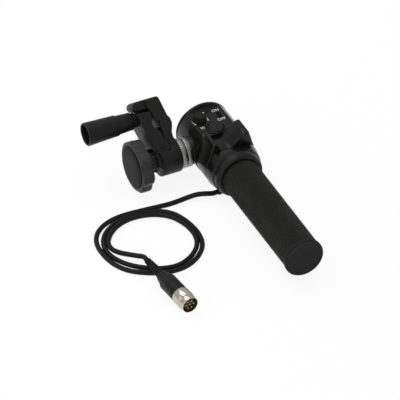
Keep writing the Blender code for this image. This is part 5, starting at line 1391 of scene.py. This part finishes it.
@dataclass
class Swivel(Assembly):
    """The two serrated discs between the head and the clamp.

    Attributes:
        radius: Radius over the teeth.
        teeth: Number of teeth.
        tooth: Depth of the teeth at the rim.
    """

    body: str = "head"
    radius: float = 13.2
    teeth: int = 48
    tooth: float = 0.22

    def disc(self, name: str, node: str, body: str, place: Matrix) -> None:
        """Model one disc, with the teeth cut round its rim.

        Args:
            name: The piece's name.
            node: The node that it stands for.
            body: The body that it rides on.
            place: The axes that it is built in.
        """
        size = Extent.of(node, place)
        low, high = size.low[0], size.high[0]
        edge = 0.1
        profile = [(3.8, low), (12.4, low), (12.9, low + edge), (self.radius, low + 0.4),
                   (self.radius, high - 0.4), (12.9, high - edge), (12.4, high), (3.8, high)]
        disc = lathe(name, profile, Sides.LARGE, tube=True, round_sides=self.teeth * 6)
        emboss(disc, self.teeth, self.tooth, low + edge, high - edge, sharp=1.4)
        turn(disc, place @ ALONG_X)
        Assembly(body).add(disc, DISC_STEEL, "dark_steel", node, smooth_deg=50.0)

    def build(self) -> None:
        """Build both discs."""
        self.disc("head_rosette_serrated", "head_rosette", "head", HEAD)
        self.disc("clamp_rosette_serrated", "clamp_rosette", "clamp", CLAMP)


@dataclass
class StarKnob(Assembly):
    """Seven-lobed knob on the swivel's stud, with a ribbed boss and a domed cap.

    Attributes:
        lobes: Number of lobes.
        lobe_depth: Depth of the valleys between the lobes.
        ribs: Number of ribs on the boss.
    """

    body: str = "star_knob"
    lobes: int = 7
    lobe_depth: float = 2.4
    ribs: int = 10

    def washer(self) -> None:
        """Model the turned washer between the hub and the knob."""
        profile = [(3.8, -54.9), (7.3, -54.9), (7.6, -55.2), (7.6, -56.2), (7.3, -56.5),
                   (3.8, -56.5)]
        washer = lathe("knob_washer", profile, Sides.MEDIUM, HEAD @ ALONG_X, tube=True)
        self.add(washer, BLACK_STEEL, "bright_steel", "star_knob_washer")

    def knob(self) -> None:
        """Model the knob with its rounded lobes and the ribs of its boss."""
        boss = [(5.9, -56.8), (7.4, -56.8), (7.7, -57.2), (7.7, -64.6), (8.4, -65.9)]
        star = [(20.6, -66.3), (22.2, -66.7), (23.0, -67.7), (23.2, -69.0), (23.2, -74.4),
                (23.0, -75.8), (22.3, -76.8), (21.2, -77.3), (19.6, -77.5), (5.9, -77.5)]
        knob = lathe("star_knob_lobed", [*boss, *star], Sides.LARGE, tube=True,
                     round_sides=self.lobes * 20)
        emboss(knob, self.ribs, depth=0.6, low=-65.0, high=-57.0, sharp=2.0)
        twist = Matrix.Rotation(math.pi / 2, 4, "Z")
        turn(knob, twist)
        emboss(knob, self.lobes, self.lobe_depth, low=-77.0, high=-66.2, sharp=1.5)
        turn(knob, HEAD @ ALONG_X @ twist.inverted())
        self.add(knob, KNOB_NYLON, "satin_black", "star_knob")

    def cap(self) -> None:
        """Model the domed cap pressed into the knob's face."""
        profile = [(18.1, -77.8), (18.8, -77.9), (19.0, -78.2), *dome(18.4, -78.5, -1.3, 10)]
        cap = lathe("star_knob_cap_domed", profile, Sides.LARGE, HEAD @ ALONG_X)
        self.add(cap, CAP_NYLON, "satin_black", "star_knob_cap")

    def build(self) -> None:
        """Build the knob's pieces in order."""
        self.washer()
        self.knob()
        self.cap()


@dataclass
class BarClamp(Assembly):
    """The bar clamp: a cast hub with its fixed jaw and finger, and the hinged jaw.

    Attributes:
        depth: Width of the jaws along the bar.
        hinge: Place of the hinge, across and up the clamp.
        pin_radius: Radius of the bore for the hinge's pin.
        fixed_outline: Corners of the fixed jaw, across and up the clamp.
        moving_outline: Corners of the hinged jaw.
    """

    body: str = "clamp"
    depth: float = 24.5
    hinge: Point = (-50.6, 9.8)
    pin_radius: float = 1.9
    fixed_outline: tuple[Point, ...] = (
        (-46.4, 0.0), (-46.4, 13.8), (-47.4, 22.8), (-46.0, 28.07), (-47.22, 31.44),
        (-49.58, 34.95), (-52.0, 42.2), (-53.5, 45.5), (-53.5, 52.5), (-42.6, 52.5),
        (-41.2, 50.92), (-38.0, 34.76), (-36.3, 31.66), (-35.7, 27.72), (-36.6, 23.94),
        (-38.3, 19.53), (-38.3, 15.49), (-36.6, 10.76), (-36.5, 0.0))
    moving_outline: tuple[Point, ...] = (
        (-55.2, 10.7), (-57.6, 10.7), (-58.8, 13.6), (-61.0, 22.8), (-63.2, 32.4),
        (-63.4, 41.33), (-62.53, 42.2), (-53.0, 41.76), (-52.0, 40.46), (-52.1, 36.3),
        (-53.4, 31.04), (-52.6, 27.8), (-48.0, 22.8), (-46.8, 15.7), (-46.8, 14.4))

    @property
    def hinge_axis(self) -> Matrix:
        """Axes of the hinge in the clamp's, with Z along its pin."""
        return shift(self.hinge[0], 0.0, self.hinge[1]) @ ALONG_Y

    def slab(self, name: str, outline: Profile, depth: float, edge: float) -> Shape:
        """Model a flat part of the casting, drawn across and up the clamp, with round edges."""
        return soften(prism(name, outline, depth, OUTLINE_UPRIGHT), edge, segments=3,
                      angle_deg=45.0)

    def bore(self, radius: float, axis: Matrix) -> Shape:
        """Give a round cutter that goes right through the casting."""
        return rod(radius, -90.0, 90.0, Sides.SMALL, axis)

    def casting(self) -> None:
        """Model the hub, the fixed jaw and its finger as one casting."""
        across, up = self.hinge
        hub = lathe("clamp_casting", [(13.6, -36.0), (14.3, -36.3), (14.6, -37.0),
                                      (14.6, -53.6), (14.3, -54.3), (13.6, -54.6)],
                    Sides.LARGE, ALONG_X)
        jaw = self.slab("fixed_jaw", self.fixed_outline, self.depth, 1.2)
        tip = [(-50.0, 52.5), *arc((-60.9, 48.4), 4.1, 90.0, 270.0, 12), (-50.0, 44.3)]
        finger = self.slab("finger", tip, self.depth * 0.70, 0.9)
        rib = block("rib", (12.0, 5.0, 4.4), (-56.0, 0.0, 44.2))
        cheek = lathe("cheek", [(3.2, -12.25), (4.0, -11.4), (4.0, 11.4), (3.2, 12.25)],
                      Sides.SMALL, self.hinge_axis)
        lobe = [(-53.6, -10.6), (-56.2, -9.0), (-57.9, -6.0),
                *arc(self.hinge, 7.4, 190.0, 236.0, 6), (-53.6, 3.0)]
        ear, side = self.slab("ear", lobe, 3.4, 0.4), 10.5
        twin = copy_of(ear, "ear_twin", shift(y=side))
        unite(hub, jaw, finger, rib, cheek, turn(ear, shift(y=-side)), twin)
        reach, roof = 4.3, 24.4
        pocket = [(-60.0, roof), (-60.0, up - reach), *arc(self.hinge, reach, -90.0, 0.0, 8),
                  (across + reach, roof)]
        cut(hub, prism("pocket", pocket, 16.6, OUTLINE_UPRIGHT),
            block("shoulder", (20.0, 60.0, 14.6), (across + reach - 10.0, 0.0, 21.4)),
            *(rod(7.3, low, low + 4.0, Sides.MEDIUM, self.hinge_axis)
              for low in (-13.75, 9.75)),
            self.bore(3.9, ALONG_X),
            self.bore(3.3, shift(z=SCREW_HEIGHT) @ ALONG_X),
            self.bore(self.pin_radius, self.hinge_axis))
        self.add(turn(hub, CLAMP), ENAMEL, "clamp_paint", "clamp_body")

    def moving_jaw(self) -> None:
        """Model the hinged jaw with its knuckle and the fork round the screw."""
        across, up = self.hinge
        jaw = self.slab("moving_jaw_cast", self.moving_outline, self.depth, 1.1)
        unite(jaw, block("web", (7.2, 16.0, 6.0), (across, 0.0, up + 3.0)),
              rod(4.0, -8.0, 8.0, Sides.SMALL, self.hinge_axis),
              *(lathe("leaf", profile, Sides.MEDIUM, self.hinge_axis)
                for profile in ([(6.7, -12.25), (7.0, -11.95), (7.0, -9.95)],
                                [(7.0, 9.95), (7.0, 11.95), (6.7, 12.25)])))
        cut(jaw, block("fork", (40.0, 6.6, 20.0), (across, 0.0, 44.7)),
            self.bore(self.pin_radius, self.hinge_axis))
        Assembly("moving_jaw").add(turn(jaw, CLAMP), ENAMEL, "clamp_paint", "moving_jaw")

    def build(self) -> None:
        """Build the clamp's castings in order."""
        self.casting()
        self.moving_jaw()


@dataclass
class ClampScrew(Assembly):
    """The screw that closes the jaws, with its washer and barrel knob.

    Attributes:
        pitch: Pitch of the thread.
    """

    body: str = "clamp_knob"
    pitch: float = 0.9

    @property
    def place(self) -> Matrix:
        """Axes of the screw, with Z along it."""
        return CLAMP @ shift(z=SCREW_HEIGHT) @ ALONG_X

    def washer(self) -> None:
        """Model the thrust washer that bears on the hinged jaw."""
        profile = [(3.3, -63.7), (6.3, -63.7), (6.6, -64.0), (6.6, -66.4), (6.3, -66.7),
                   (3.3, -66.7)]
        washer = lathe("thrust_washer_turned", profile, Sides.MEDIUM, self.place, tube=True)
        Assembly("thrust_washer").add(washer, BLACK_STEEL, "bright_steel", "thrust_washer")

    def knob(self) -> None:
        """Model the barrel knob: tapered neck, stepped barrel and hollow end."""
        profile = [(3.3, -67.0), (7.4, -67.0), (7.7, -67.4), (8.4, -80.9), (8.9, -81.0),
                   (9.15, -81.4), (9.2, -84.0), (10.25, -108.6), (10.2, -109.4),
                   (9.9, -109.8), (8.9, -109.8), (8.6, -109.5), (8.5, -109.0),
                   (8.3, -96.8), (3.3, -96.8)]
        knob = lathe("clamp_knob_barrel", profile, Sides.LARGE, self.place, tube=True)
        self.add(knob, PHENOLIC, "satin_black", "clamp_knob")

    def screw(self) -> None:
        """Model the screw with its thread and socket head."""
        size = Extent.of("clamp_screw", CLAMP)
        end, tip = size.low[0], size.high[0]
        root, crest = 2.55, 3.0
        profile = [(3.8, end), (4.9, end + 0.5), (4.9, end + 4.3), (crest, end + 4.6),
                   (crest, -67.0)]
        height = -66.5
        while height < tip - 1.2:
            profile += [(root, height), (crest, height + self.pitch / 2)]
            height += self.pitch
        profile += [(2.6, tip - 0.4), (2.0, tip)]
        screw = lathe("clamp_screw_threaded", profile, Sides.SMALL)
        cut(screw, rod(2.9, end - 2.0, end + 2.4, Sides.TINY, round_sides=6))
        self.add(turn(screw, self.place), ZINC_STEEL, "bright_steel", "clamp_screw",
                 smooth_deg=35.0)

    def build(self) -> None:
        """Build the screw's pieces in order."""
        self.washer()
        self.knob()
        self.screw()


CARRIED_OVER: dict[str, Finish] = {
    "board_chip": PANEL_ABS, "button_switch": GREY_NYLON, "circuit_board": LAMINATE,
    "centring_spring": TURNED_STEEL, "contact_pin": GOLD_BRASS, "dial_potentiometer": ZINC_STEEL,
    "dial_shaft": ZINC_STEEL, "drive_arm": ZINC_STEEL, "grip_tube": EXTRUDED_ALUMINIUM,
    "jaw_hinge_pin": BLACK_STEEL, "journal_tube": EXTRUDED_ALUMINIUM,
    "pot_shaft": TURNED_STEEL, "star_knob_insert": GOLD_BRASS, "stud_nut": ZINC_STEEL,
    "switch_body": GREY_NYLON, "swivel_stud": TURNED_STEEL, "zoom_potentiometer": ZINC_STEEL,
}


def dress_frame() -> None:
    """Give every node of the frame that stays its finish."""
    for name, obj in sorted(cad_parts.items()):
        finish = next((value for key, value in CARRIED_OVER.items() if name.startswith(key)),
                      None)
        if finish is not None:
            obj.data.materials.clear()
            obj.data.materials.append(finish.material())
            LOG.info("%s keeps its shape in %s", name, finish.name)


def main() -> None:
    """Build the scene: camera, cord, studio, then each sub-assembly."""
    deselect()
    CameraRig().build()
    LOG.info("camera")
    plug_pieces = Plug().build()
    Cable(pieces=plug_pieces).build()
    Studio().build()
    LOG.info("studio")
    for assembly in (HeadShell(), Controls(), ThumbRocker(), Grip(), Swivel(), StarKnob(),
                     BarClamp(), ClampScrew()):
        assembly.build()
        LOG.info("%s is done", type(assembly).__name__)
    dress_frame()
    deselect()
    bpy.context.view_layer.update()


if __name__ == "__main__":
    logging.basicConfig(level=logging.INFO, format="%(name)s: %(message)s")
    main()
